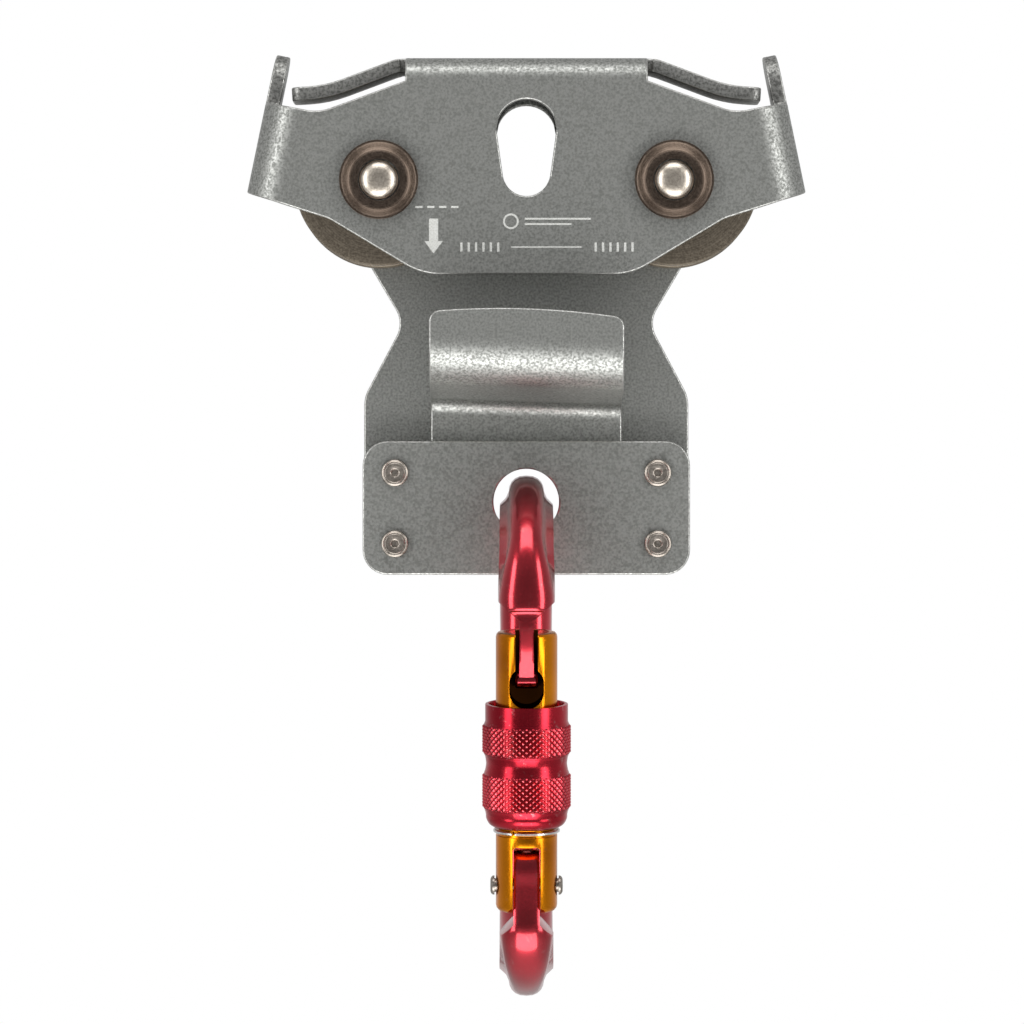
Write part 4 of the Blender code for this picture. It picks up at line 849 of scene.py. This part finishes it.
def coated(mesh, finish, angle=32.0):
    """A carved mesh, smooth apart from its sharp edges, with this finish alone."""
    mesh = shaded(mesh, angle)
    mesh.materials.clear()
    mesh.materials.append(finish)
    return mesh


def eased(profile, radius, steps=3):
    """The profile with each of its inner corners rounded, as (radius, y) points."""
    points = [profile[0]]
    for before, here, after in zip(profile, profile[1:], profile[2:]):
        corner = Vector(here)
        back = Vector(before) - corner
        ahead = Vector(after) - corner
        reach = min(radius, 0.45 * back.length, 0.45 * ahead.length)
        start = corner + back.normalized() * reach
        end = corner + ahead.normalized() * reach
        for step in range(steps + 1):
            t = step / steps
            points.append(tuple((1 - t) ** 2 * start + 2 * t * (1 - t) * corner + t * t * end))
    points.append(profile[-1])
    return points


def new_maker(name, sockets):
    """An empty Geometry Nodes tree with its named inputs, and one geometry as its output."""
    tree = bpy.data.node_groups.new(name, "GeometryNodeTree")
    for label, kind in sockets:
        tree.interface.new_socket(name=label, in_out="INPUT", socket_type="NodeSocket" + kind)
    tree.interface.new_socket(name="Geometry", in_out="OUTPUT", socket_type="NodeSocketGeometry")
    return tree, tree.nodes.new("NodeGroupInput").outputs


def made_real(tree, geometry, finish):
    """Ends a tree: its copies become plain mesh and get their finish."""
    real = wire(tree, "GeometryNodeRealizeInstances", {"Geometry": geometry})
    finished = wire(tree, "GeometryNodeSetMaterial", {"Geometry": real.outputs[0], "Material": finish})
    wire(tree, "NodeGroupOutput", {"Geometry": finished.outputs[0]})
    return tree


def build_set_out():
    """Geometry Nodes: copies of a template on a grid of points in the XZ plane."""
    tree, given = new_maker("set_out", (
        ("Template", "Object"), ("Finish", "Material"), ("Columns", "Int"), ("Rows", "Int"),
        ("Across", "Float"), ("Up", "Float"), ("Height", "Float")))
    grid = wire(tree, "GeometryNodeMeshGrid", {
        "Size X": given["Across"], "Size Y": given["Up"],
        "Vertices X": given["Columns"], "Vertices Y": given["Rows"]})
    lift = wire(tree, "ShaderNodeCombineXYZ", {"Z": given["Height"]})
    stood = wire(tree, "GeometryNodeTransform", {
        "Geometry": grid.outputs["Mesh"], "Translation": lift.outputs[0],
        "Rotation": (math.pi / 2, 0.0, 0.0)})
    template = wire(tree, "GeometryNodeObjectInfo", {"Object": given["Template"]})
    copies = wire(tree, "GeometryNodeInstanceOnPoints", {
        "Points": stood.outputs[0], "Instance": template.outputs["Geometry"]})
    return made_real(tree, copies.outputs[0], given["Finish"])


def grown(tree, inputs):
    """The mesh that a Geometry Nodes tree makes with these inputs."""
    holder = bpy.data.objects.new("grown", bpy.data.meshes.new("grown"))
    modifier = holder.modifiers.new("grow", "NODES")
    modifier.node_group = tree
    ids = {item.name: item.identifier for item in tree.interface.items_tree if item.in_out == "INPUT"}
    for label, value in inputs.items():
        modifier[ids[label]] = value
    return meshed(holder)


SET_OUT = build_set_out()


def set_out(mesh, finish, across, up=0.0, height=0.0):
    """Copies of a turned piece at both axles, or at the four rivets when it has an up spacing."""
    template = bpy.data.objects.new("template", mesh)
    made = grown(SET_OUT, {
        "Template": template, "Finish": finish, "Columns": 2, "Rows": 2 if up else 1,
        "Across": across, "Up": up, "Height": height})
    bpy.data.objects.remove(template)
    return made


# %% [markdown]
# ## Rivets, washers and axles
# Each rivet has a low head with a soft rim, a ring left by the setting tool and a small dimple. The dished
# washers open towards the front and the back like saucers, and the axle ends are peened to smooth, low domes.

# %% Rivets, washers and axle ends
rivet_front = CONNECTION_MID - SHEET / 2 - GAP
rivet_back = INNER_GAP / 2 + SHEET + GAP
rivet_profile = [(radius * MM, rivet_front - out * MM) for radius, out in (
    (0.0, 0.62), (0.62, 0.66), (0.86, 0.98), (1.05, 1.06), (2.05, 1.12), (2.25, 0.98), (2.42, 0.98),
    (2.58, 1.08), (2.84, 0.94), (2.99, 0.66), (3.0, 0.0), (2.0, 0.0))]
rivet_profile += [(radius * MM, rivet_back + out * MM) for radius, out in (
    (2.0, 0.0), (3.0, 0.0), (2.98, 0.62), (2.72, 0.98), (2.1, 1.15), (1.0, 1.2), (0.0, 1.2))]
rivets = set_out(
    turned(rivet_profile, 40), RIVET, 2 * RIVET_X, RIVET_ROWS[0] - RIVET_ROWS[1], sum(RIVET_ROWS) / 2)
own("plate_rivet_set", rivets, "frame", "rivet_steel",
    *["plate_rivet_" + tag for tag in ("upper_left", "upper_right", "lower_left", "lower_right")])

washer_seat = INNER_GAP / 2 + SHEET + GAP
dish = in_mm(
    (4.55, 0.82), (5.2, 0.80), (6.0, 0.82), (6.5, 0.95), (7.3, 1.5), (7.85, 2.02), (8.15, 2.2),
    (8.45, 2.2), (8.6, 2.05), (8.6, 1.75), (8.3, 1.3), (7.5, 0.5), (6.7, 0.02), (4.7, 0.0), (4.55, 0.1))
washers = bpy.data.meshes.new("washers")
bm = bmesh.new()
for facing in (-1.0, 1.0):
    bm.from_mesh(turned([(radius, facing * (washer_seat + out)) for radius, out in dish], 96, closed=True))
bm.to_mesh(washers)
bm.free()
washer_set = set_out(shaded(washers), BRONZE, 2 * AXLE_X, height=AXLE_Z)
own("dished_washer_set", washer_set, "frame", "bronzed_steel",
    *[f"dished_washer_{side}_{facing}" for side in ("left", "right") for facing in ("front", "back")])

head = washer_seat + 1.1 * MM
crown = [(radius * MM, head + out * MM) for radius, out in (
    (0.0, 1.88), (0.8, 1.86), (1.6, 1.78), (2.3, 1.64), (2.9, 1.43), (3.4, 1.16), (3.8, 0.83), (4.08, 0.46),
    (4.2, 0.1), (4.0, 0.0))]
axle_profile = [(radius, -y) for radius, y in crown] + [(radius, y) for radius, y in reversed(crown)]
own("axle_pair", set_out(turned(axle_profile, 72), AXLE, 2 * AXLE_X, height=AXLE_Z), "frame", "axle_steel",
    "axle_left", "axle_right")

# %% [markdown]
# ## Grooved wheels and their bearings
# A sheave runs on the cable with a round groove a little wider than the cable. Its rims have small radii, so
# that they catch a thin line of light. The bearings sit deep between the walls, where only their faces show,
# so the frame's own pieces stay there and only get a better steel.

# %% Sheaves and bearings
half = 9.5 * MM
groove_r = 6.6 * MM
seat = 12.75 * MM + groove_r
mouth = math.radians(52.0)
slants = [mouth - mouth * i / 12 for i in range(25)]
groove = [(seat - groove_r * math.cos(slant), -groove_r * math.sin(slant)) for slant in slants]
wheel = [(11.15 * MM, -half), (18.5 * MM, -half), (18.5 * MM, groove[0][1] - 1.9 * MM), *groove,
         (18.5 * MM, groove[-1][1] + 1.9 * MM), (18.5 * MM, half), (11.15 * MM, half)]
wheel = eased(wheel, 0.55 * MM) + in_mm((11.15, 0.9), (9.65, 0.9), (9.65, -0.9), (11.15, -0.9))
for name, side in (("left", -1.0), ("right", 1.0)):
    mesh = turned(wheel, 128, closed=True)
    mesh.transform(Matrix.Translation((side * AXLE_X, 0.0, AXLE_Z)))
    mesh.materials.append(SHEAVE)
    own(f"sheave_{name}_turned", mesh, "sheave_" + name, "sheave_metal", "sheave_" + name)


def refinish(finish, *words):
    """Gives every node of the frame whose name starts so a better material."""
    for name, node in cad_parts.items():
        if name.startswith(words):
            for place in node.material_slots:
                place.material = finish


refinish(BEARING, "bearing_", "side_spacer", "middle_spacer")
refinish(SPRING, "gate_spring")
refinish(AXLE, "gate_plunger")

# %% [markdown]
# ## The carabiner
# The forged bar is round inside and has a narrower rib outside, so from the front it looks like a T. It is
# lofted along a smooth line through a few stations, each with its own widths and depth. Its nose is thinned
# to a small hammer shape that hooks into the gate, and its lower end is milled to a tongue that the gate's
# fork straddles. The milled faces are cut with Booleans, and a fine bevel breaks their edges.

# %% Carabiner: loft and cuts
PIN_Y = -18.0 * MM
PIN_Z = -134.0 * MM
GATE_LEAN = math.radians(6.0)
FLANGE = 11.8 * MM
BARREL_R = 6.65 * MM
TONGUE_WIDTH = 5.6 * MM
NECK_WIDTH = 3.1 * MM
TOE_Z = -89.4 * MM
NECK_TOP_Z = -76.7 * MM


def gate_axis_y(z):
    return PIN_Y - (z - PIN_Z) * math.tan(GATE_LEAN)


def carabiner_stations():
    """(y, z, flange width, rib width, depth) in millimetres, from the nose over the top to the tongue."""
    nose = gate_axis_y(TOE_Z) / MM
    wide, rib = 11.8, 7.8
    stations = [
        (nose, -90.6, wide, wide, 3.4), (nose - 1.2, -83.0, wide, wide, 5.8),
        (nose - 1.9, -78.4, wide, wide, 6.6), (nose - 1.05, -75.4, wide, wide, 10.4),
        (nose - 0.7, -71.6, 12.27, 12.27, 11.6), (-22.6, -67.0, 12.15, 10.86, 11.8),
        (-20.3, -61.6, wide, rib, 12.0), (-15.4, -56.2, wide, rib, 12.2), (-8.2, -52.6, wide, rib, 12.5),
        (0.0, -51.6, wide, rib, 12.5), (8.2, -51.45, wide, rib, 12.5), (17.0, -52.1, wide, rib, 12.5),
        (25.6, -55.4, wide, rib, 12.5), (32.2, -62.0, wide, rib, 12.2), (35.9, -71.0, wide, rib, 11.8),
        (37.2, -83.0, 11.56, rib, 11.4), (36.2, -101.0, 11.56, rib, 11.2), (33.0, -119.0, 11.56, rib, 11.4),
        (28.9, -133.0, 11.56, rib, 11.6), (23.4, -143.6, wide, rib, 11.8), (14.6, -150.8, wide, rib, 12.0),
        (3.6, -153.4, wide, rib, 12.0), (-6.6, -152.0, wide, 7.96, 12.0), (-13.2, -148.6, wide, 10.14, 12.2),
    ]
    for rise, depth in ((-9.4, 12.2), (-5.0, 11.2), (0.0, 10.5), (4.6, 10.5), (6.9, 8.19), (7.8, 4.515)):
        z = PIN_Z + rise * MM
        stations.append((gate_axis_y(z) / MM, z / MM, wide, wide, depth))
    return [[value * MM for value in station] for station in stations]


def smooth_stations(stations, parts):
    """Further stations between the given ones, on a smooth curve through them all."""
    first = [2 * a - b for a, b in zip(stations[0], stations[1])]
    last = [2 * a - b for a, b in zip(stations[-1], stations[-2])]
    row = [first, *stations, last]
    smooth = []
    for i in range(1, len(row) - 2):
        for part in range(parts):
            t = part / parts
            smooth.append([
                0.5 * (2 * b + (c - a) * t + (2 * a - 5 * b + 4 * c - d) * t**2
                       + (3 * b - a - 3 * c + d) * t**3)
                for a, b, c, d in zip(*row[i - 1 : i + 3])])
    return [*smooth, stations[-1]]


def bar_section(flange, rib, depth, count):
    """Half of the bar's section as (across, outward): a round flange inside, a narrower rib outside."""
    points = []
    inner = min(flange, depth) / 2
    outer = min(rib, depth) / 2
    for i in range(count + 1):
        outward = depth / 2 * math.cos(math.pi * i / count)
        rise = (outward + depth / 2 - inner) / max(depth - inner - outer, 1e-6)
        ease = min(max(rise, 0.0), 1.0)
        width = flange + (rib - flange) * ease * ease * (3 - 2 * ease)
        cap = max((outward - depth / 2 + outer) / outer, (inner - depth / 2 - outward) / inner, 0.0)
        points.append((width / 2 * max(1.0 - cap**2.4, 0.0) ** (1 / 2.4), outward))
    return points


def lofted(stations, count):
    """The bar swept along its stations in the plane x = 0, with its ends closed."""
    bm = bmesh.new()
    rings = []
    for i, (y, z, flange, rib, depth) in enumerate(stations):
        before = stations[max(i - 1, 0)]
        after = stations[min(i + 1, len(stations) - 1)]
        ahead = Vector((0.0, after[0] - before[0], after[1] - before[1])).normalized()
        outward = Vector((0.0, -ahead.z, ahead.y))
        side = bar_section(flange, rib, depth, count)
        around = side + [(-x, out) for x, out in reversed(side[1:-1])]
        rings.append([bm.verts.new(Vector((x, y, z)) + outward * out) for x, out in around])
    for lower, upper in zip(rings, rings[1:]):
        for i in range(len(lower)):
            j = (i + 1) % len(lower)
            bm.faces.new((lower[i], lower[j], upper[j], upper[i]))
    bm.faces.new(rings[0])
    bm.faces.new(rings[-1])
    bmesh.ops.recalc_face_normals(bm, faces=bm.faces)
    mesh = bpy.data.meshes.new("lofted")
    bm.to_mesh(mesh)
    bm.free()
    return mesh


def wedge(low, high, shape):
    """A box between two corners whose points are then moved by shape."""
    mesh = bpy.data.meshes.new("wedge")
    bm = bmesh.new()
    bmesh.ops.create_cube(bm, size=1.0)
    for vert in bm.verts:
        vert.co = shape(Vector([low[i] if vert.co[i] < 0 else high[i] for i in range(3)]))
    bmesh.ops.recalc_face_normals(bm, faces=bm.faces)
    bm.to_mesh(mesh)
    bm.free()
    return mesh


def carved(mesh, cuts, edge=0.0, angle=40.0):
    """The mesh with each tool cut away, kept or joined, and then with the fresh edges broken."""
    holder = bpy.data.objects.new("carved", mesh)
    tools = []
    for tool, operation in cuts:
        tools.append(bpy.data.objects.new("tool", tool))
        scene.collection.objects.link(tools[-1])
        modifier = holder.modifiers.new("cut", "BOOLEAN")
        modifier.operation = operation
        modifier.solver = "EXACT"
        modifier.object = tools[-1]
    if edge:
        bevel = holder.modifiers.new("edge", "BEVEL")
        bevel.width = edge
        bevel.segments = 2
        bevel.limit_method = "ANGLE"
        bevel.angle_limit = math.radians(angle)
    made = meshed(holder)
    for tool in tools:
        bpy.data.objects.remove(tool)
    return made


ACROSS = Matrix.Rotation(math.pi / 2, 4, "Z")


def cross_rod(radius, half, place, steps=40, corner=0.0):
    """A round bar along X at this place."""
    ends = [(0.0, -half), (radius, -half), (radius, half), (0.0, half)]
    rod = turned(eased(ends, corner) if corner else ends, steps)
    rod.transform(Matrix.Translation(place) @ ACROSS)
    return rod


def carabiner_cuts():
    cuts = []
    size = 2 * BARREL_R
    for side in (-1.0, 1.0):
        inner = side * TONGUE_WIDTH / 2
        low, high = sorted((inner, side * FLANGE))

        def shoulder(point):
            if point.z < PIN_Z:
                point.z = -141.8 * MM - (abs(point.x) - abs(inner)) + 0.14 * (point.y - PIN_Y)
            return point

        cuts.append((wedge(
            (low, PIN_Y - size, PIN_Z - size), (high, PIN_Y + size, PIN_Z + size), shoulder), "DIFFERENCE"))
        inner = side * NECK_WIDTH / 2
        low, high = sorted((inner, side * FLANGE))

        def cheek(point):
            if point.z > TOE_Z:
                point.z = NECK_TOP_Z + 0.9 * (abs(point.x) - abs(inner))
            return point

        nose_y = gate_axis_y(NECK_TOP_Z)
        cuts.append((wedge(
            (low, nose_y - size, TOE_Z - size), (high, nose_y + size, 0.0), cheek), "DIFFERENCE"))
    toe = cross_rod(1.9 * MM, 2.6 * MM, (0.0, gate_axis_y(TOE_Z) - 0.5 * MM, TOE_Z), 32, 1.2 * MM)
    hole = cross_rod(1.8 * MM, FLANGE, (0.0, PIN_Y, PIN_Z))
    return cuts + [(toe, "UNION"), (hole, "DIFFERENCE")]


carabiner = carved(lofted(smooth_stations(carabiner_stations(), 6), 14), carabiner_cuts(), 0.22 * MM)
own("carabiner_forged", coated(carabiner, RED, 34.0), "carabiner", "red_anodised", "carabiner_body")

pin_end = BARREL_R + 1.2 * MM
pin_half = [
    (0.0, pin_end), (1.3 * MM, pin_end - 0.02 * MM), (1.75 * MM, pin_end - 0.18 * MM),
    (2.05 * MM, pin_end - 0.5 * MM), (2.1 * MM, BARREL_R + GAP), (1.5 * MM, BARREL_R + GAP)]
pin = turned([(radius, -y) for radius, y in pin_half] + [(radius, y) for radius, y in reversed(pin_half)], 32)
pin.transform(Matrix.Translation((0.0, PIN_Y, PIN_Z)) @ ACROSS)
pin.materials.append(RIVET)
own("gate_hinge_pin_turned", pin, "carabiner", "axle_steel", "gate_hinge_pin")

# %% [markdown]
# ## The gate
# The barrel is a turned bar, milled from the front: a fork below for the carabiner's tongue, and a narrow
# mouth above that opens into an oval window, where the nose hooks in. It is made upright along its own axis
# and then leaned onto the hinge pin. A split ring in a groove carries the locking sleeve.

# %% Gate barrel and split ring
GATE = Matrix.Translation((0.0, PIN_Y, PIN_Z)) @ Matrix.Rotation(GATE_LEAN, 4, "X")
TO_UPRIGHT = Matrix.Rotation(math.pi / 2, 4, "X")
MOUTH_BACK = 2.8 * MM


def upright_turned(profile, steps, closed=False):
    """Turned about Z, from (radius, z)."""
    mesh = turned([(radius, -z) for radius, z in profile], steps, closed)
    mesh.transform(Matrix.Rotation(-math.pi / 2, 4, "X"))
    return mesh


def slot_corners(half, low, low_round, high, high_round):
    """Corners of a slot in millimetres: half its width, and the height and rounding of each end."""
    return [
        (-half, low, low_round), (half, low, low_round), (half, high, high_round), (-half, high, high_round)]


def milled(corners, thickness, middle, steps=10):
    """A rounded outline in XZ, as thick along Y as said about this middle: a milling cutter's path."""
    mesh = plate([rounded(in_mm(*corners), steps)], thickness, 0.0)
    mesh.transform(Matrix.Translation((0.0, middle, 0.0)) @ TO_UPRIGHT)
    return mesh


barrel_profile = in_mm(
    (0.0, 55.3), (5.65, 55.3), (6.2, 55.18), (6.52, 54.8), (6.65, 54.2), (6.65, 12.7), (6.05, 12.7),
    (6.05, 11.1), (6.65, 11.1), (6.65, -4.1), (6.5, -4.75), (6.1, -5.25), (5.15, -5.6), (0.0, -5.6))
side_view = milled(slot_corners(7.25, -5.9, 5.3, 60.0, 0.0), 4 * BARREL_R, 0.0, 14)
side_view.transform(Matrix.Rotation(math.pi / 2, 4, "Z"))
depth = MOUTH_BACK + 2 * BARREL_R
middle = MOUTH_BACK - depth / 2
fork = milled(slot_corners(3.0, -10.6, 0.0, 9.1, 0.9), 4 * BARREL_R, 0.0)
mouth_cut = milled(slot_corners(2.45, 43.8, 0.0, 60.3, 0.0), depth, middle)
window = milled(slot_corners(3.75, 39.2, 3.74, 48.4, 3.74), depth, middle, 14)
spring_bore = upright_turned(in_mm((0.0, 31.0), (2.5, 31.0), (2.5, 8.1), (0.0, 8.1)), 32)
pin_bore = cross_rod(1.8 * MM, 2 * BARREL_R, (0.0, 0.0, 0.0))
barrel = carved(
    upright_turned(barrel_profile, 72),
    [(side_view, "INTERSECT"), (fork, "DIFFERENCE"), (mouth_cut, "DIFFERENCE"), (window, "DIFFERENCE"),
     (spring_bore, "DIFFERENCE"), (pin_bore, "DIFFERENCE")], 0.22 * MM, 32.0)
barrel = coated(barrel, GOLD)
# Painted shade: faces deep inside the mouth and window get the darker gold, standing in for the shade in the
# recess.
barrel.materials.append(PAINTED_SHADE_POCKET)
for face in barrel.polygons:
    depth_in = BARREL_R - math.hypot(face.center.x, face.center.y)
    face.material_index = int(depth_in > 0.9 * MM and 39.0 * MM < face.center.z < 55.0 * MM)
barrel.transform(GATE)
own("gate_barrel_milled", barrel, "gate", "gold_anodised", "gate_barrel")

ring_profile = in_mm((6.35, 12.35), (7.0, 12.35), (7.2, 12.2), (7.2, 11.85), (7.0, 11.7), (6.35, 11.7))
notch = wedge((-0.4 * MM, -15.0 * MM, 10.4 * MM), (0.4 * MM, 0.0, 13.4 * MM), lambda point: point)
notch.transform(Matrix.Rotation(math.radians(-24.0), 4, "Z"))
stop_ring = carved(upright_turned(ring_profile, 72, closed=True), [(notch, "DIFFERENCE")])
stop_ring.transform(GATE)
own("stop_ring_split", coated(stop_ring, SPRING), "gate", "spring_steel", "sleeve_stop_ring")

# %% [markdown]
# ## The knurled sleeve
# A diamond knurl is two families of V grooves that wind round the sleeve in opposite directions. It could be
# painted as bump, but the diamonds are big enough to break the outline, so they are real. Geometry Nodes
# wrap a fine grid round a ring: each point's radius is the lower of two zigzags, one for each family, cut
# flat at the top. A stored attribute keeps the height of the tooth, so the finish can paint shade into the
# grooves and a pale highlight on the tips.

# %% Knurl tree
KNURL_ROOT = 9.15 * MM
KNURL_DEPTH = 0.45 * MM
TEETH = 40
TOOTH_RISE = 1.4 * MM
FINE = 4


def build_knurl():
    tree, given = new_maker("diamond_knurl", (
        ("Teeth", "Int"), ("Rows", "Int"), ("Low", "Float"), ("High", "Float"),
        ("Root", "Float"), ("Depth", "Float"), ("Inner", "Float"), ("Finish", "Material")))

    def calc(operation, first, second=0.0, clamp=False):
        return math_node(tree, operation, first, second, clamp)

    around = calc("MULTIPLY", given["Teeth"], 2.0 * FINE)
    upward = calc("MULTIPLY", given["Rows"], float(FINE))
    grid = wire(tree, "GeometryNodeMeshGrid", {
        "Size X": around, "Size Y": calc("ADD", upward, 3.0),
        "Vertices X": calc("ADD", around, 1.0), "Vertices Y": calc("ADD", upward, 4.0)})
    position = wire(tree, "GeometryNodeInputPosition").outputs[0]
    place = wire(tree, "ShaderNodeSeparateXYZ", {0: position}).outputs
    column = calc("ADD", place["X"], calc("MULTIPLY", around, 0.5))
    row = calc("ADD", place["Y"], calc("MULTIPLY", calc("ADD", upward, 3.0), 0.5))
    outer_row = calc("SUBTRACT", row, 1.0)
    u = calc("DIVIDE", column, float(FINE))
    v = calc("DIVIDE", outer_row, float(FINE))
    left, right = [
        calc("ABSOLUTE", calc("SUBTRACT", calc("FLOORED_MODULO", calc(way, u, v), 2.0), 1.0))
        for way in ("ADD", "SUBTRACT")]
    tooth = calc("MINIMUM", calc("MULTIPLY", calc("MINIMUM", left, right), 1.35), 1.0)
    from_end = calc("MINIMUM", v, calc("SUBTRACT", given["Rows"], v))
    run_out = calc("MULTIPLY", from_end, 1.5, clamp=True)
    tooth = calc("MULTIPLY", tooth, run_out)
    share = calc("DIVIDE", outer_row, upward, clamp=True)
    last = calc("GREATER_THAN", row, calc("ADD", upward, 2.5))
    share = calc("MULTIPLY", share, calc("SUBTRACT", 1.0, last))
    inside = calc("MAXIMUM", calc("LESS_THAN", row, 0.5), calc("GREATER_THAN", row, calc("ADD", upward, 1.5)))
    outside = calc("ADD", given["Root"], calc("MULTIPLY", given["Depth"], tooth))
    kept = calc("MULTIPLY", outside, calc("SUBTRACT", 1.0, inside))
    radius = calc("ADD", kept, calc("MULTIPLY", given["Inner"], inside))
    height = calc("ADD", given["Low"], calc("MULTIPLY", calc("SUBTRACT", given["High"], given["Low"]), share))
    angle = calc("MULTIPLY", calc("DIVIDE", column, around), 2 * math.pi)
    wrapped = wire(tree, "ShaderNodeCombineXYZ", {
        "X": calc("MULTIPLY", radius, calc("COSINE", angle)),
        "Y": calc("MULTIPLY", radius, calc("SINE", angle)), "Z": height})
    stored = wire(tree, "GeometryNodeStoreNamedAttribute", {
        "Geometry": grid.outputs["Mesh"], "Name": "tooth", "Value": tooth}, data_type="FLOAT", domain="POINT")
    bent = wire(tree, "GeometryNodeSetPosition", {
        "Geometry": stored.outputs[0], "Position": wrapped.outputs[0]})
    closed = wire(tree, "GeometryNodeMergeByDistance", {"Geometry": bent.outputs[0], "Distance": 1e-7})
    return made_real(tree, closed.outputs[0], given["Finish"])


def knurled_finish():
    """The red coat, with painted shade darkening the grooves and a painted highlight making the tips of the
    teeth pale.
    """
    made, tree, shader = new_finish("knurled_red", Coat_Weight=0.25, Coat_Roughness=0.15)
    deep, bright = rgb(0.42, 0.018, 0.032), rgb(0.74, 0.05, 0.075)
    coat = grouped(tree, COAT, {"Deep": deep, "Bright": bright, "Wear": 0.12})
    tooth = wire(tree, "ShaderNodeAttribute", None, attribute_name="tooth").outputs["Fac"]
    # Painted shade: the grooves darken towards the root of the teeth.
    painted_groove_shade = mixed(tree, ranged(tree, tooth, 0.0, 0.5), rgb(0.16, 0.006, 0.012), coat["Color"])
    # Painted highlight: the tips of the teeth turn pale pink.
    painted_tip_highlight = mixed(tree, ranged(tree, tooth, 0.6, 1.0, 0.0, 0.45), painted_groove_shade, rgb(0.95, 0.25, 0.27))
    tree.links.new(painted_tip_highlight, shader.inputs["Base Color"])
    tree.links.new(coat["Roughness"], shader.inputs["Roughness"])
    relief(tree, shader, coat["Height"], 0.1, 0.02 * MM)
    return made


KNURL = build_knurl()
KNURLED = knurled_finish()
print("knurl tree:", len(KNURL.nodes), "nodes")

# %% Sleeve body and its two bands
sleeve_profile = in_mm(
    (8.05, 39.7), (8.95, 39.7), (8.95, 35.85), (9.2, 35.35), (9.2, 28.75), (8.95, 28.3), (8.75, 26.9),
    (8.75, 26.5), (8.95, 25.3), (9.2, 24.7), (9.2, 16.9), (8.95, 16.3), (8.8, 15.6), (8.8, 14.9),
    (8.55, 14.2), (8.1, 13.5), (7.3, 12.95), (6.95, 12.8), (6.95, 35.1), (8.05, 36.1))
closed_profile = eased([sleeve_profile[-1], *sleeve_profile, sleeve_profile[0]], 0.22 * MM, 2)[1:-1]
sleeve = upright_turned(closed_profile, 128, closed=True)
sleeve.materials.append(SATIN_RED)
bm = bmesh.new()
bm.from_mesh(sleeve)
for low, high in ((28.8 * MM, 35.3 * MM), (16.9 * MM, 24.6 * MM)):
    rows = 2 * round((high - low) / TOOTH_RISE)
    band = grown(KNURL, {"Teeth": TEETH, "Rows": rows, "Low": low, "High": high, "Root": KNURL_ROOT,
                         "Depth": KNURL_DEPTH, "Inner": 8.6 * MM, "Finish": KNURLED})
    for face in band.polygons:
        face.material_index = 1
    bm.from_mesh(band)
bm.to_mesh(sleeve)
bm.free()
sleeve.materials.append(KNURLED)
sleeve.transform(GATE)
own("locking_sleeve_knurled", sleeve, "sleeve", "red_anodised", "locking_sleeve")
